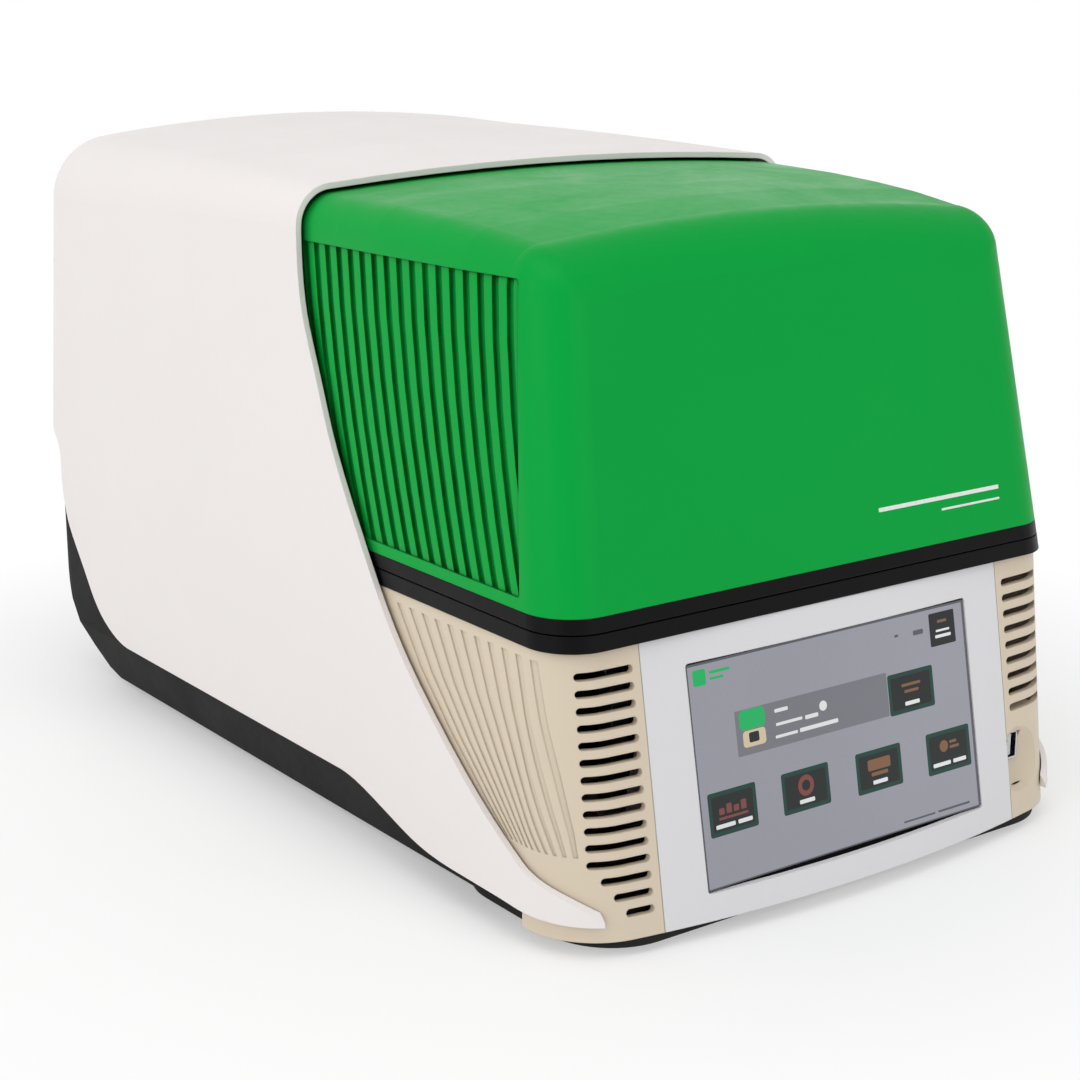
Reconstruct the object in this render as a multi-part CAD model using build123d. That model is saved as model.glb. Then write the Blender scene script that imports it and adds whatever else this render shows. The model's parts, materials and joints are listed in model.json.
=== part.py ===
from build123d import *
import math
import os

# Benchtop real-time thermal cycler: a white rear shell, a sliding lid that carries the
# heated plate and the optics, and a lower front with a touchscreen over the sample block.
# Millimetres, +Z up, the front faces -Y, origin on the bench plane under the middle of
# the machine. Left and right are seen from the front (left is -X), except for the
# exhaust rotors, which are named as seen from behind.

os.makedirs("parts", exist_ok=True)

SIDES = (-1, 1)
WALL = 3.0                # wall of the shell, lid, tray and lower front

# rear shell
HALF_W = 166.4            # half width at bench level
SHELL_DRAFT = 0.024       # side draft, as a slope
SHELL_BACK_Y = 295.8      # back plane carried down to z = 0
BACK_LEAN = 0.09          # the back plane leans forward as it rises
BACK_N = math.hypot(1, BACK_LEAN)
BACK_INSET = 1.004        # forward move of the back plane per mm of inset
SHELL_BACK_R = 24.0
BASE_HALF_W = 157.6       # base tray

# front planes of the lid and the lower front
FRONT_SLOPE = 0.19
FRONT_N = math.hypot(1, FRONT_SLOPE)
FRONT_Y_Z0 = -279.5       # lid front plane carried down to z = 0
LOW_FRONT_Y = -275.4      # lower front plane at z = 10

# lid
LID_Z0 = 155.0
LID_REAR_Y = 20.0
LID_FRONT_R = 24.0
SKIRT_Z = (148.2, 154.9)
DECK_Z = (140.0, 147.5)

# lower front
LOW_Z = (8.0, 139.7)
BEZEL_HALF = 113.8        # seam between bezel and side cowls
COWL_X = 114.1
SCREEN_HALF = 89.7
SCREEN_Z = (20.5, 125.5)

# sample block and heated plate
BLOCK_Y = -130.0
WELL_PITCH = 9.0
BLOCK_TOP = 136.0
HEAT_Z0 = 152.5
WELL_X = [WELL_PITCH * (i - 5.5) for i in range(12)]
WELL_Y = [BLOCK_Y + WELL_PITCH * (j - 3.5) for j in range(8)]

# lid drive
RACK_MODULE = 1.0
PINION_TEETH = 30
PINION_Y = 5.0
PITCH_Z = 150.3
PINION_R = PINION_TEETH * RACK_MODULE / 2
PINION_Z = PITCH_Z - PINION_R
GEAR_X = (120.0, 127.0)
PRESSURE_ANGLE = math.radians(20)
TOOTH_SLACK = 0.06
ADDENDUM = 0.95 * RACK_MODULE
DEDENDUM = 1.25 * RACK_MODULE

# lid frame, press screws and optics
FRAME_TOP = (226.0, 227.5)
POSTS = [(side * 102.0, BLOCK_Y + dy) for side in SIDES for dy in (-30, 30)]
SCREW_X = 104.0
OPT_Z = 192.0             # height of every rod, pulley and belt of the optics
ROD_X = 74.0
CROSS_ROD_Y = (-143.0, -117.0)
GANTRY_IDLER_Y, GANTRY_DRIVE_Y = -206, -36
SHUTTLE_PULLEY_X = 58
LENS_AT = [(i * WELL_PITCH, BLOCK_Y + side * WELL_PITCH / 2)
           for i in range(-2, 3) for side in SIDES]

# rear panel
FAN_Z, FAN_X = 214.0, 62.0
FAN_SCREW = 35.75         # fan screw offset from the fan centre
INLET = (-104.0, 132.0)
SWITCH = (-66.0, 132.0)
PORTS_X = (52.0, 78.0, 104.0)
PANEL_SCREWS = [(side * 128, z) for side in SIDES for z in (122, 258)]

FEET = [(x, y) for y in (-228, 200) for x in (-132, 132)]
SINK_FAN_Z = 68


# ------------------------------- helpers ------------------------------------
def box(x0, x1, y0, y1, z0, z1):
    centre = Pos((x0 + x1) / 2, (y0 + y1) / 2, (z0 + z1) / 2)
    return centre * Box(abs(x1 - x0), abs(y1 - y0), abs(z1 - z0))


def cyl_z(x, y, z0, z1, r):
    return Pos(x, y, (z0 + z1) / 2) * Cylinder(r, abs(z1 - z0))


def cyl_y(x, z, y0, y1, r):
    return Pos(x, (y0 + y1) / 2, z) * Rot(90, 0, 0) * Cylinder(r, abs(y1 - y0))


def cyl_x(y, z, x0, x1, r):
    return Pos((x0 + x1) / 2, y, z) * Rot(0, 90, 0) * Cylinder(r, abs(x1 - x0))


def fuse(items):
    return items[0].fuse(*items[1:])


def biggest(shape):
    return max(shape.solids(), key=lambda solid: solid.volume)


def prism_yz(points, x0, x1):
    """Prism along X of a polygon of (y, z) points."""
    face = Face(Wire.make_polygon([Vector(x0, y, z) for y, z in points], close=True))
    return Solid.extrude(face, Vector(x1 - x0, 0, 0))


def prism_xz(points, y0, y1):
    """Prism along Y of a polygon of (x, z) points."""
    face = Face(Wire.make_polygon([Vector(x, y0, z) for x, z in points], close=True))
    return Solid.extrude(face, Vector(0, y1 - y0, 0))


def spline_prism(chains, x0, x1):
    """Prism along X of a closed outline: ("spline" or "line", (y, z) points) in turn."""
    edges = []
    for kind, points in chains:
        corners = [Vector(x0, y, z) for y, z in points]
        if kind == "spline":
            edges.append(Edge.make_spline(corners))
        else:
            edges += [Edge.make_line(a, b) for a, b in zip(corners, corners[1:])]
    return Solid.extrude(Face(Wire(edges)), Vector(x1 - x0, 0, 0))


def rounded_xy(x0, x1, y0, y1, r, z0, z1):
    face = Pos((x0 + x1) / 2, (y0 + y1) / 2, z0) * RectangleRounded(x1 - x0, y1 - y0, r)
    return extrude(face, z1 - z0)


def rounded_xz(x0, x1, z0, z1, r, y0, y1):
    plane = Plane(origin=((x0 + x1) / 2, y0, (z0 + z1) / 2), x_dir=(1, 0, 0), z_dir=(0, 1, 0))
    return extrude(plane * RectangleRounded(x1 - x0, z1 - z0, r), y1 - y0)


def around_block(half_x, half_y, r, z0, z1):
    """Rounded plate centred over the sample block."""
    return rounded_xy(-half_x, half_x, BLOCK_Y - half_y, BLOCK_Y + half_y, r, z0, z1)


# ---------------------------- lofted body forms -------------------------------
def arch_wire(plane, half_width, draft, radius, crown, top, base):
    """Closed section: drafted sides, rounded shoulders and a crowned top that
    leaves the shoulders at the slope angle crown, all tangent."""
    centre_z = top - radius
    for _ in range(30):
        centre_x = half_width - centre_z * math.tan(draft) - radius / math.cos(draft)
        crown_x = centre_x + radius * math.sin(crown)
        centre_z = top - radius * math.cos(crown) - crown_x * math.tan(crown / 2)

    def shoulder(angle):
        return (centre_x + radius * math.cos(angle), centre_z + radius * math.sin(angle))

    def at(point, side=1):
        return plane.from_local_coords(Vector(side * point[0], point[1], 0))

    start = shoulder(draft)
    middle = shoulder((draft + math.pi / 2 - crown) / 2)
    end = shoulder(math.pi / 2 - crown)
    foot = (half_width - base * math.tan(draft), base)
    return Wire([
        Edge.make_line(at(foot, -1), at(foot)),
        Edge.make_line(at(foot), at(start)),
        Edge.make_three_point_arc(at(start), at(middle), at(end)),
        Edge.make_three_point_arc(at(end), at((0, top)), at(end, -1)),
        Edge.make_three_point_arc(at(end, -1), at(middle, -1), at(start, -1)),
        Edge.make_line(at(start, -1), at(foot, -1)),
    ])


def slope_plane(y, slope):
    """Plane through (0, y, 0) holding X and the direction (0, slope, 1)."""
    n = math.hypot(1, slope)
    return Plane(origin=(0, y, 0), x_dir=(1, 0, 0), z_dir=(0, -1 / n, slope / n))


def body_and_cap(body, cap):
    """Straight-ruled body joined to a smoothly rounded end cap."""
    return Solid.make_loft(body, True).fuse(Solid.make_loft(cap, False))


# y, top height, shoulder radius, crown angle in degrees
SHELL_STATIONS = [
    (-320, 331.0, 20.0, 4.5), (-35, 331.0, 20.5, 4.5), (15, 332.7, 23.0, 4.9),
    (60, 334.2, 25.5, 5.3), (105, 335.5, 28.0, 5.8), (150, 336.6, 30.5, 6.3),
    (185, 337.2, 32.5, 6.7), (215, 337.6, 34.0, 7.0)]
SHELL_BACK_STATION = (339.1, 36.0, 7.2)
SHELL_LEAN_FROM_Y = -35   # sections start to lean here and lean fully 300 mm behind


def shell_body(t):
    """Outer form of the rear shell, inset by t."""
    def wire(y, lean, top, radius, crown, inset):
        return arch_wire(slope_plane(y, lean), HALF_W - inset, math.atan(SHELL_DRAFT),
                         max(radius - inset, 1.5), math.radians(crown), top - inset, -12.0)

    body = [wire(y, -BACK_LEAN * max(0.0, (y - SHELL_LEAN_FROM_Y) / 300), *rest, t)
            for y, *rest in SHELL_STATIONS]
    radius = SHELL_BACK_R - t
    back = SHELL_BACK_Y - t * BACK_INSET
    cap = []
    for degrees in range(90, -1, -10):
        a = math.radians(degrees)
        cap.append(wire(back - radius * (1 - math.cos(a)), -BACK_LEAN, *SHELL_BACK_STATION,
                        t + radius * (1 - math.sin(a))))
    return body_and_cap(body + cap[:1], cap)


# slope of the section plane, half width, draft in degrees, shoulder radius,
# crown angle in degrees, top height
LID_FRONT_STATION = (FRONT_SLOPE, 170.1, 4.375, 20.0, 6.4, 324.6)
# y, then the same columns
LID_STATIONS = [
    (-205.0, 0.13, 167.6, 3.45, 19.2, 6.0, 325.3),
    (-160.0, 0.085, 165.6, 2.75, 18.4, 5.6, 325.8),
    (-110.0, 0.04, 163.8, 2.05, 17.6, 5.1, 326.1),
    (-70.0, 0.015, 162.5, 1.65, 17.0, 4.8, 326.3),
    (-40.0, 0.0, 161.7, 1.4, 16.5, 4.5, 326.4),
    (-12.0, 0.0, 161.6, 1.4, 19.0, 4.6, 326.0),
    (LID_REAR_Y, 0.0, 161.4, 1.5, 26.0, 5.0, 325.0)]


def lid_body(t):
    """Outer form of the sliding lid, inset by t."""
    def wire(y, slope, half_width, draft, radius, crown, top, inset):
        return arch_wire(slope_plane(y, slope), half_width - inset, math.radians(draft),
                         max(radius - inset, 1.5), math.radians(crown), top - inset, 90.0)

    radius = LID_FRONT_R - t
    front = FRONT_Y_Z0 + t * FRONT_N
    cap = []
    for degrees in range(0, 91, 10):
        a = math.radians(degrees)
        cap.append(wire(front + radius * (1 - math.cos(a)) * FRONT_N, *LID_FRONT_STATION,
                        t + radius * (1 - math.sin(a))))
    body = [wire(*station, t) for station in LID_STATIONS]
    return body_and_cap([cap[-1]] + body, cap)


def low_front_y(z):
    return LOW_FRONT_Y + FRONT_SLOPE * (z - 10)


def plan_wire(z, t, half_width, top_radius, forward, y_back):
    """Level section with a bowed front; corners and bow grow toward the bench."""
    u = min((140.0 - z) / 132.0, 1.2)
    radius = top_radius + 18.0 * u
    sag = 3.5 + 8.0 * u
    y_front = low_front_y(z) - 0.48 * sag - forward
    crown = 2 * math.atan(sag / (half_width - radius + radius * 0.1))
    plane = Plane(origin=(0, 0, z), x_dir=(1, 0, 0), z_dir=(0, 0, -1))
    return arch_wire(plane, half_width - t, 0.0, radius - t, crown, -y_front - t, -y_back)


def low_body(t):
    """Outer form of the lower front, inset by t."""
    return Solid.make_loft([plan_wire(z, t, 162.6 - 0.0345 * (z - 8), 22.0, 0.0, 20.0)
                            for z in (-6.0, 46.0, 98.0, 150.0)], False)


def tip_body(t):
    """Form that carries the rear shell round the front corners, inset by t."""
    return Solid.make_loft([plan_wire(z, t, HALF_W - SHELL_DRAFT * z, 25.4, 3.4, 0.0)
                            for z in (-20.0, 60.0, 110.0)], True)


# ------------------------------ rear shell ----------------------------------
# (y, z) along the front edge, from the lid down to the front corner
SHELL_SEAM = [
    (-35.5, 301.4), (-36.5, 285.9), (-41, 262.9), (-51.8, 237.7), (-65.6, 206.6),
    (-79.8, 182.1), (-95.5, 158.5), (-110.5, 137.2), (-128.4, 115.6), (-152.3, 93.2),
    (-175.6, 74.3), (-198.4, 57.9), (-220.6, 44.6), (-240.0, 35.0), (-254.0, 29.0),
    (-263.0, 22.6), (-268.6, 16.4)]
# (y, z) along the lower edge, before and after its straight middle
SHELL_LOWER_FRONT = [
    (-268.6, 16.2), (-258, 16.6), (-225, 18.0), (-184, 18.5), (-165, 19.0), (-148, 21.0),
    (-127.5, 26.0), (-106.5, 32.0), (-88, 36.3), (-70, 37.5)]
SHELL_LOWER_REAR = [
    (168, 37.5), (180, 39.5), (192, 43.8), (203, 50), (214, 60), (223.5, 71.5), (236, 86),
    (245, 98), (250.5, 112), (253, 128), (255, 143), (261, 151), (300, 156)]


def rear_shell():
    region = spline_prism([
        ("line", [(-35.5, 345), SHELL_SEAM[0]]),
        ("spline", SHELL_SEAM),
        ("line", [SHELL_SEAM[-1], SHELL_LOWER_FRONT[0]]),
        ("spline", SHELL_LOWER_FRONT),
        ("line", [SHELL_LOWER_FRONT[-1], SHELL_LOWER_REAR[0]]),
        ("spline", SHELL_LOWER_REAR),
        ("line", [SHELL_LOWER_REAR[-1], (300, 345), (-35.5, 345)])], -180, 180)
    body = shell_body(0.0) - shell_body(WALL)
    body = body & region & box(-180, 180, -215, 310, -5, 360)
    corners = box(144, 180, -300, -215, 0, 60) + box(-180, -144, -300, -215, 0, 60)
    tips = (tip_body(0.0) - tip_body(WALL)) & region & corners
    shell = body.fuse(*tips.solids())
    return biggest(shell - rounded_xz(-139, 139, 100, 268, 14, 240, 310))


# --------------------------- base tray and feet -------------------------------
# (y, z) outline of everything above the tray's sloping rim
TRAY_RIM = [
    (-300, 22.5), (-140, 22.5), (-118, 33), (-95, 41), (-70, 43.5), (165, 43.5), (178, 46),
    (190, 51), (203, 60), (214, 71), (226, 86), (236, 99), (243, 114), (246, 130),
    (247, 148), (248, 156), (248, 200), (-300, 200)]


def tray_form(t):
    """Outer form of the tray, inset by t."""
    half = BASE_HALF_W - t
    front_view = [(-150, 4 + t), (-half, 32), (-half, 170), (half, 170), (half, 32),
                  (150, 4 + t)]
    side_view = [
        (-262 + t, 4 + t), (212, 4 + t), (224, 8 + t * 0.9), (238 - t * 0.4, 19 + t * 0.8),
        (251 - t * 0.7, 32 + t * 0.6), (260.5 - t * 0.8, 45 + t * 0.4), (270 - t, 70),
        (275.6 - t, 95), (278.2 - t, 112), (278.6 - t, 135), (277 - t, 148),
        (276 - t, 156), (-262 + t, 156)]
    # small corners at the back, large ones at the front
    form = (rounded_xy(-half, half, -262 + t, 279.6 - t, 20 - t, 4 + t, 156)
            & rounded_xy(-half, half, -262 + t, 400, 37 - t, 4 + t, 156))
    return form & prism_xz(front_view, -300, 300) & prism_yz(side_view, -180, 180)


def base_tray():
    tray = (tray_form(0.0) - tray_form(WALL)) - prism_yz(TRAY_RIM, -190, 190)
    tray = tray - box(-145.4, 145.4, 262, 290, 110.8, 160)
    lip = (rounded_xy(-153, 153, -271, -150, 36, 4, 7.6)
           - rounded_xy(-149, 149, -259.5, -140, 20, 3, 9))
    tray = tray.fuse(*lip.solids())
    for i in range(9):  # intake slots under the sample block
        tray = tray - box(-60, 60, -178 + i * 11, -173 + i * 11, 0, 8.5)
    for x, y in FEET:
        tray = tray - cyl_z(x, y, 0, 12, 4.1)
    return biggest(tray)


def rubber_feet():
    feet = []
    for x, y in FEET:
        disc = cyl_z(x, y, 0, 3.9, 12.0)
        disc = chamfer(disc.edges().sort_by(Axis.Z)[0], 1.2)
        feet.append(disc.fuse(cyl_z(x, y, 3.9, 8.4, 4.0)))
    return feet


# --------------------------- lower front covers ------------------------------
LOW_OUTER = low_body(0.0)
LOW_INNER = low_body(WALL)
LOW_WALL = LOW_OUTER - LOW_INNER

# z, y at the cowl's rear seam, y at the front edge of the relief
FLANK_LINES = [(134.5, -114, -233.5), (108, -136, -239.5), (83, -164, -246.5),
               (58, -197, -252.5), (47, -213, -254.5)]
GROOVES = 11
COWL_REAR = [(-97, 138), (-114, 115.6), (-138, 92), (-162, 73), (-184, 57), (-206, 44),
             (-226, 35)]


def flank_grooves():
    """Fine slanted relief on the right flank, fanned between the two edges."""
    def line(f):
        return [(rear + (front - rear) * f, z) for z, rear, front in FLANK_LINES]

    strips = []
    for k in range(GROOVES):
        start, end = line((k + 0.60) / GROOVES), line((k + 1.0) / GROOVES)
        strips.append(prism_yz(start + end[::-1], 140, 170))
    skin = (LOW_OUTER - low_body(0.7)) & box(146, 180, -256, -90, 30, 136)
    return skin & fuse(strips)


def cowl(side, grooves):
    under = prism_yz([(-229, 0), (-229, 22), (-100, 34), (60, 34), (60, 0)], -200, 200)
    behind = spline_prism([
        ("line", [(-42, 150), COWL_REAR[0]]),
        ("spline", COWL_REAR),
        ("line", [COWL_REAR[-1], (-226, 0), (60, 0), (60, 150), (-42, 150)])], -200, 200)
    zone = box(-200, 200, -300, 20, *LOW_Z) - under - behind
    half = box(side * COWL_X, side * 190, -300, 20, 0, 150)
    return (LOW_WALL & zone & half) - grooves


def vent_slot(x0, x1, z):
    return rounded_xz(x0, x1, z - 1.9, z + 1.9, 1.85, -300, -215)


def left_cowl():
    shape = cowl(-1, mirror(flank_grooves(), about=Plane.YZ))
    for i in range(15):
        outer_x = -147.5 + 5.0 * max(i - 11, 0)  # the lowest slots get shorter
        shape = shape - vent_slot(outer_x, -118.2, 128.8 - 7.75 * i)
    return biggest(shape)


def right_cowl():
    shape = cowl(1, flank_grooves())
    for i in range(9):
        shape = shape - vent_slot(118.2, 147.5, 127.6 - 7.95 * i)
    # dished pocket with the front data socket
    dish = Pos(125.2, -279.5, 39) * Sphere(21.5)
    shape = shape - dish
    pocket = (LOW_INNER - low_body(11.0)) & box(117.5, 140, -300, -230, 23.5, 62)
    pocket = pocket - dish
    shape = shape.fuse(*pocket.solids())
    return biggest(shape - box(121.2, 128.8, -300, -230, 34.2, 50.0))


def front_bezel():
    bezel = LOW_WALL & box(-BEZEL_HALF, BEZEL_HALF, -300, -200, *LOW_Z)
    return biggest(bezel - rounded_xz(-SCREEN_HALF, SCREEN_HALF, *SCREEN_Z, 1.6, -300, -220))


# ------------------------------ touchscreen ----------------------------------
SCREEN_MID_Z = sum(SCREEN_Z) / 2
SCREEN_H = (SCREEN_Z[1] - SCREEN_Z[0]) * FRONT_N
SCREEN_PLANE = slope_plane(0, FRONT_SLOPE)
SCREEN_PLANE = Plane(origin=(0, low_front_y(SCREEN_MID_Z), SCREEN_MID_Z), x_dir=(1, 0, 0),
                     z_dir=SCREEN_PLANE.z_dir)


def on_screen(width, height, d0, d1, r=0.0, u=0.0, v=0.0):
    """Plate parallel to the front slope; u right, v up, d outward."""
    face = RectangleRounded(width, height, r) if r else Rectangle(width, height)
    return SCREEN_PLANE * Pos(u, v, d0) * extrude(face, d1 - d0)


def touchscreen_glass():
    return on_screen(2 * SCREEN_HALF - 0.8, SCREEN_H - 1.8, -2.6, -0.5, 1.3)


def display_module():
    panel = on_screen(2 * SCREEN_HALF - 8, SCREEN_H - 10, -9.6, -2.7, 1.0)
    board = on_screen(160, 88, -12.6, -11.0, 1.5)
    tab = on_screen(22, 14, -12.6, -11.0, 0, -88, 20)
    components = [on_screen(18, 12, -15.4, -12.6, 0, -40, 10),
                  on_screen(12, 22, -14.6, -12.6, 0, 20, -12),
                  on_screen(30, 6, -15.8, -12.6, 0, 40, 30)]
    posts = [on_screen(6, 6, -11.0, -9.6, 0, a * 70, b * 36) for a in SIDES for b in SIDES]
    return fuse([panel, board, tab] + components + posts)


# --------------------------------- lid --------------------------------------
LID_OUTER = lid_body(0.0)
# (y, z) outline of the vent in each flank
LID_VENT = [
    (-204.5, 297.0), (-220.5, 161.5), (-219.5, 160.5), (-84, 160.5), (-69, 182), (-55, 207),
    (-41, 238), (-30, 262), (-24.0, 284), (-24.0, 298.5), (-203.0, 298.5)]
# (y, z) outline of the backing behind the vent
LID_VENT_BACK = [
    (-207, 300.5), (-223.5, 158), (-82, 158), (-66, 184), (-52, 209), (-37, 240),
    (-26, 265), (-20, 286), (-20, 300.5)]
RIB_PITCH = 10.2
RIB_WIDTH = 5.4


def rib_line(y0):
    """Curved rib edge that sweeps forward as it falls from z = 293."""
    drops = [(z, 293.0 - z) for z in (299.5, 270, 240, 215, 190, 172, 159.5)]
    return [(y0 - 0.11 * drop - 0.00107 * drop * drop, z) for z, drop in drops]


def lid_cover():
    vent_floor = lid_body(2.4)
    skin = (LID_OUTER - vent_floor) & box(120, 180, -300, 60, 150, 305)
    vent = skin & prism_yz(LID_VENT, 120, 175)
    backing = (vent_floor - lid_body(4.8)) & prism_yz(LID_VENT_BACK, 120, 175)
    ribs = []
    for k in range(-6, 18):
        y0 = -191.0 + RIB_PITCH * k
        ribs.append(prism_yz(rib_line(y0) + rib_line(y0 - RIB_WIDTH)[::-1], 120, 175))
    # the ribs stay 0.7 mm below the outer face
    ribs = (vent - (LID_OUTER - lid_body(0.7))) & fuse(ribs)
    added = list(backing.solids()) + list(ribs.solids())
    cover = (LID_OUTER - lid_body(WALL)) & box(-200, 200, -320, 60, LID_Z0, 400)
    cover = cover.cut(vent, mirror(vent, about=Plane.YZ))
    return biggest(cover.fuse(*(added + [mirror(item, about=Plane.YZ) for item in added])))


def lid_skirt():
    return biggest((LID_OUTER - lid_body(5.5)) & box(-200, 200, -320, 15, *SKIRT_Z))


def deck_plate():
    rim = (LID_OUTER - lid_body(5.0)) & box(-200, 200, -320, -50, *DECK_Z)
    top = lid_body(4.0) & box(-200, 200, -320, -50, 145.2, DECK_Z[1])
    deck = rim.fuse(*top.solids())
    for side in SIDES:  # rail slots
        deck = deck - box(side * 135.8, side * 152.4, -225, -40, 130, 160)
    opening = around_block(68, 47, 5, 130, 160)
    deck = deck - opening
    collar = around_block(70, 49, 7, 137.6, 145.3) - opening
    return biggest(deck.fuse(*collar.solids()))


# ------------------------------ rear panel -----------------------------------
def lean_plane(depth):
    """Plane parallel to the back of the shell, depth mm forward of a datum set 2 mm
    inside it; local x runs along -X, local y up the panel, local z backward."""
    return Plane(origin=(0, SHELL_BACK_Y - 2.0 - depth / BACK_N, -depth * BACK_LEAN / BACK_N),
                 x_dir=(-1, 0, 0), z_dir=(0, 1 / BACK_N, BACK_LEAN / BACK_N))


def back_plate(x0, x1, z0, z1, d0, d1, r=0.0):
    """Plate on the back plane between depths d0 < d1."""
    width, height = x1 - x0, (z1 - z0) * BACK_N
    face = RectangleRounded(width, height, r) if r else Rectangle(width, height)
    centre = Pos(-(x0 + x1) / 2, (z0 + z1) / 2 * BACK_N, 0)
    return lean_plane(d1) * centre * extrude(face, d1 - d0)


def back_block(centre, half_w, half_h, d0, d1, r=0.0):
    x, z = centre
    return back_plate(x - half_w, x + half_w, z - half_h, z + half_h, d0, d1, r)


def back_disc(x, z, r, d0, d1):
    return lean_plane(d1) * Pos(-x, z * BACK_N, (d1 - d0) / 2) * Cylinder(r, d1 - d0)


def fan_screws(x):
    return [(x + a * FAN_SCREW, FAN_Z + b * FAN_SCREW) for a in SIDES for b in SIDES]


def fan_spokes(x, depth, mid_radius, length, width, thickness):
    centre = lean_plane(depth) * Pos(-x, FAN_Z * BACK_N, thickness / 2)
    return [centre * Rot(0, 0, a) * Pos(mid_radius, 0, 0) * Box(length, width, thickness)
            for a in (45, 135, 225, 315)]


FANS_X = (-FAN_X, FAN_X)
FAN_SCREWS = fan_screws(-FAN_X) + fan_screws(FAN_X)


def rear_panel():
    panel = back_plate(-145, 145, 112, 273, 3.3, 5.8, 15)
    for x in FANS_X:
        panel = panel - back_disc(x, FAN_Z, 37.5, 0, 9)
    panel = panel - back_block(INLET, 14.2, 11.2, 0, 9, 3)
    panel = panel - back_block(SWITCH, 6.7, 9.7, 0, 9)
    for x in PORTS_X:
        panel = panel - back_block((x, 132.4), 8.3, 7.0, 0, 9)
    for i in range(12):
        panel = panel - back_plate(-40 + i * 5.6, -37.2 + i * 5.6, 122, 150, 0, 9, 1.3)
    for x, z in PANEL_SCREWS:
        panel = panel - back_disc(x, z, 1.65, 0, 9)
    for x, z in FAN_SCREWS:
        panel = panel - back_disc(x, z, 2.1, 0, 9)
    return panel


def fan_frame(x):
    frame = back_block((x, FAN_Z), 40, 40, 5.85, 25.0, 4) - back_disc(x, FAN_Z, 38.2, 0, 30)
    frame = frame.fuse(back_disc(x, FAN_Z, 15, 22.4, 25.0))
    for spoke in fan_spokes(x, 25.0, 26.5, 26.5, 4.0, 2.6):
        frame = frame.fuse(spoke)
    for screw_x, screw_z in fan_screws(x):
        frame = frame - back_disc(screw_x, screw_z, 2.1, 0, 30)
    return biggest(frame - back_disc(x, FAN_Z, 2.05, 0, 30))


def exhaust_fan_frames():
    return [fan_frame(x) for x in FANS_X]


def exhaust_rotor(x):
    hub = back_disc(x, FAN_Z, 14.5, 8.2, 22.0)
    hub = hub.fuse(back_disc(x, FAN_Z, 2.0, 22.0, 24.8))
    centre = lean_plane(15.2) * Pos(-x, FAN_Z * BACK_N, 0)
    blade = Pos(24.8, 0, 0) * Rot(38, 0, 0) * Box(23.6, 15.5, 1.6)
    return hub.fuse(*[centre * Rot(0, 0, 360 / 7 * k) * blade for k in range(7)])


def exhaust_rotor_left():
    return exhaust_rotor(FAN_X)


def exhaust_rotor_right():
    return exhaust_rotor(-FAN_X)


def fan_guard(x):
    wires = [back_disc(x, FAN_Z, r + 0.8, 1.5, 3.2) - back_disc(x, FAN_Z, r - 0.8, 0, 9)
             for r in (8, 14, 20, 26, 32, 37.6)]
    wires += fan_spokes(x, 3.2, 29.5, 44.5, 1.7, 1.7)
    wires += [back_disc(*screw, 4.2, 1.5, 3.2) for screw in fan_screws(x)]
    guard = fuse(wires)
    for screw in fan_screws(x):
        guard = guard - back_disc(*screw, 2.1, 0, 9)
    return biggest(guard)


def fan_guards():
    return [fan_guard(x) for x in FANS_X]


def power_inlet():
    inlet = back_block(INLET, 16.5, 13, 1.2, 3.25, 3)
    inlet = inlet.fuse(back_block(INLET, 14, 11, 3.25, 28, 3))
    inlet = inlet - back_block(INLET, 11.5, 8, 0, 18, 2.5)
    for dx, dz in ((-6.5, -1.5), (0, 2.5), (6.5, -1.5)):  # three blades
        inlet = inlet.fuse(back_block((INLET[0] + dx, INLET[1] + dz), 1, 2, 4.0, 33))
    return inlet


ROCKER_PLANE = lean_plane(5.2)
ROCKER_HALF_W = 4.9
# (up, backward) from the pivot: two flats meeting over it
ROCKER_PROFILE = [(-7.2, 1.2), (-7.0, 2.6), (0, 1.2), (7.0, 2.6), (7.2, 1.2), (6.0, -2.2),
                  (0, -4.5), (-6.0, -2.2)]


def rocker_pivot(r, length):
    centre = ROCKER_PLANE * Pos(-SWITCH[0], SWITCH[1] * BACK_N, 0)
    return centre * Rot(0, 90, 0) * Cylinder(r, length)


def power_switch_frame():
    frame = back_block(SWITCH, 8.6, 11.6, 1.4, 3.25, 1.5)
    frame = frame.fuse(back_block(SWITCH, 6.4, 9.4, 3.25, 21))
    frame = frame - back_block(SWITCH, 5.2, 8.2, 0, 14)
    for dx in (-3, 3):
        frame = frame.fuse(back_block((SWITCH[0] + dx, SWITCH[1]), 0.4, 3, 20.8, 29))
    return biggest(frame - rocker_pivot(1.05, 12.0))


def power_switch_rocker():
    points = [ROCKER_PLANE.from_local_coords(
        Vector(-SWITCH[0] - ROCKER_HALF_W, SWITCH[1] * BACK_N + up, out))
        for up, out in ROCKER_PROFILE]
    face = Face(Wire.make_polygon(points, close=True))
    rocker = Solid.extrude(face, Vector(-2 * ROCKER_HALF_W, 0, 0))
    return rocker.fuse(rocker_pivot(1.0, 11.6))


def data_ports():
    ports = []
    for x in PORTS_X:
        port = (back_block((x, 132.4), 8, 6.7, 3.0, 22)
                - back_block((x, 132.1), 6.8, 4.9, 0, 16))
        if x != PORTS_X[2]:  # two of the three have a tongue
            port = port.fuse(back_block((x, 131.9), 5.5, 0.9, 5.5, 16.3))
        ports.append(port)
    return ports + [box(44, 112, 235, 257.5, 122.4, 124.0)]


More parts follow.
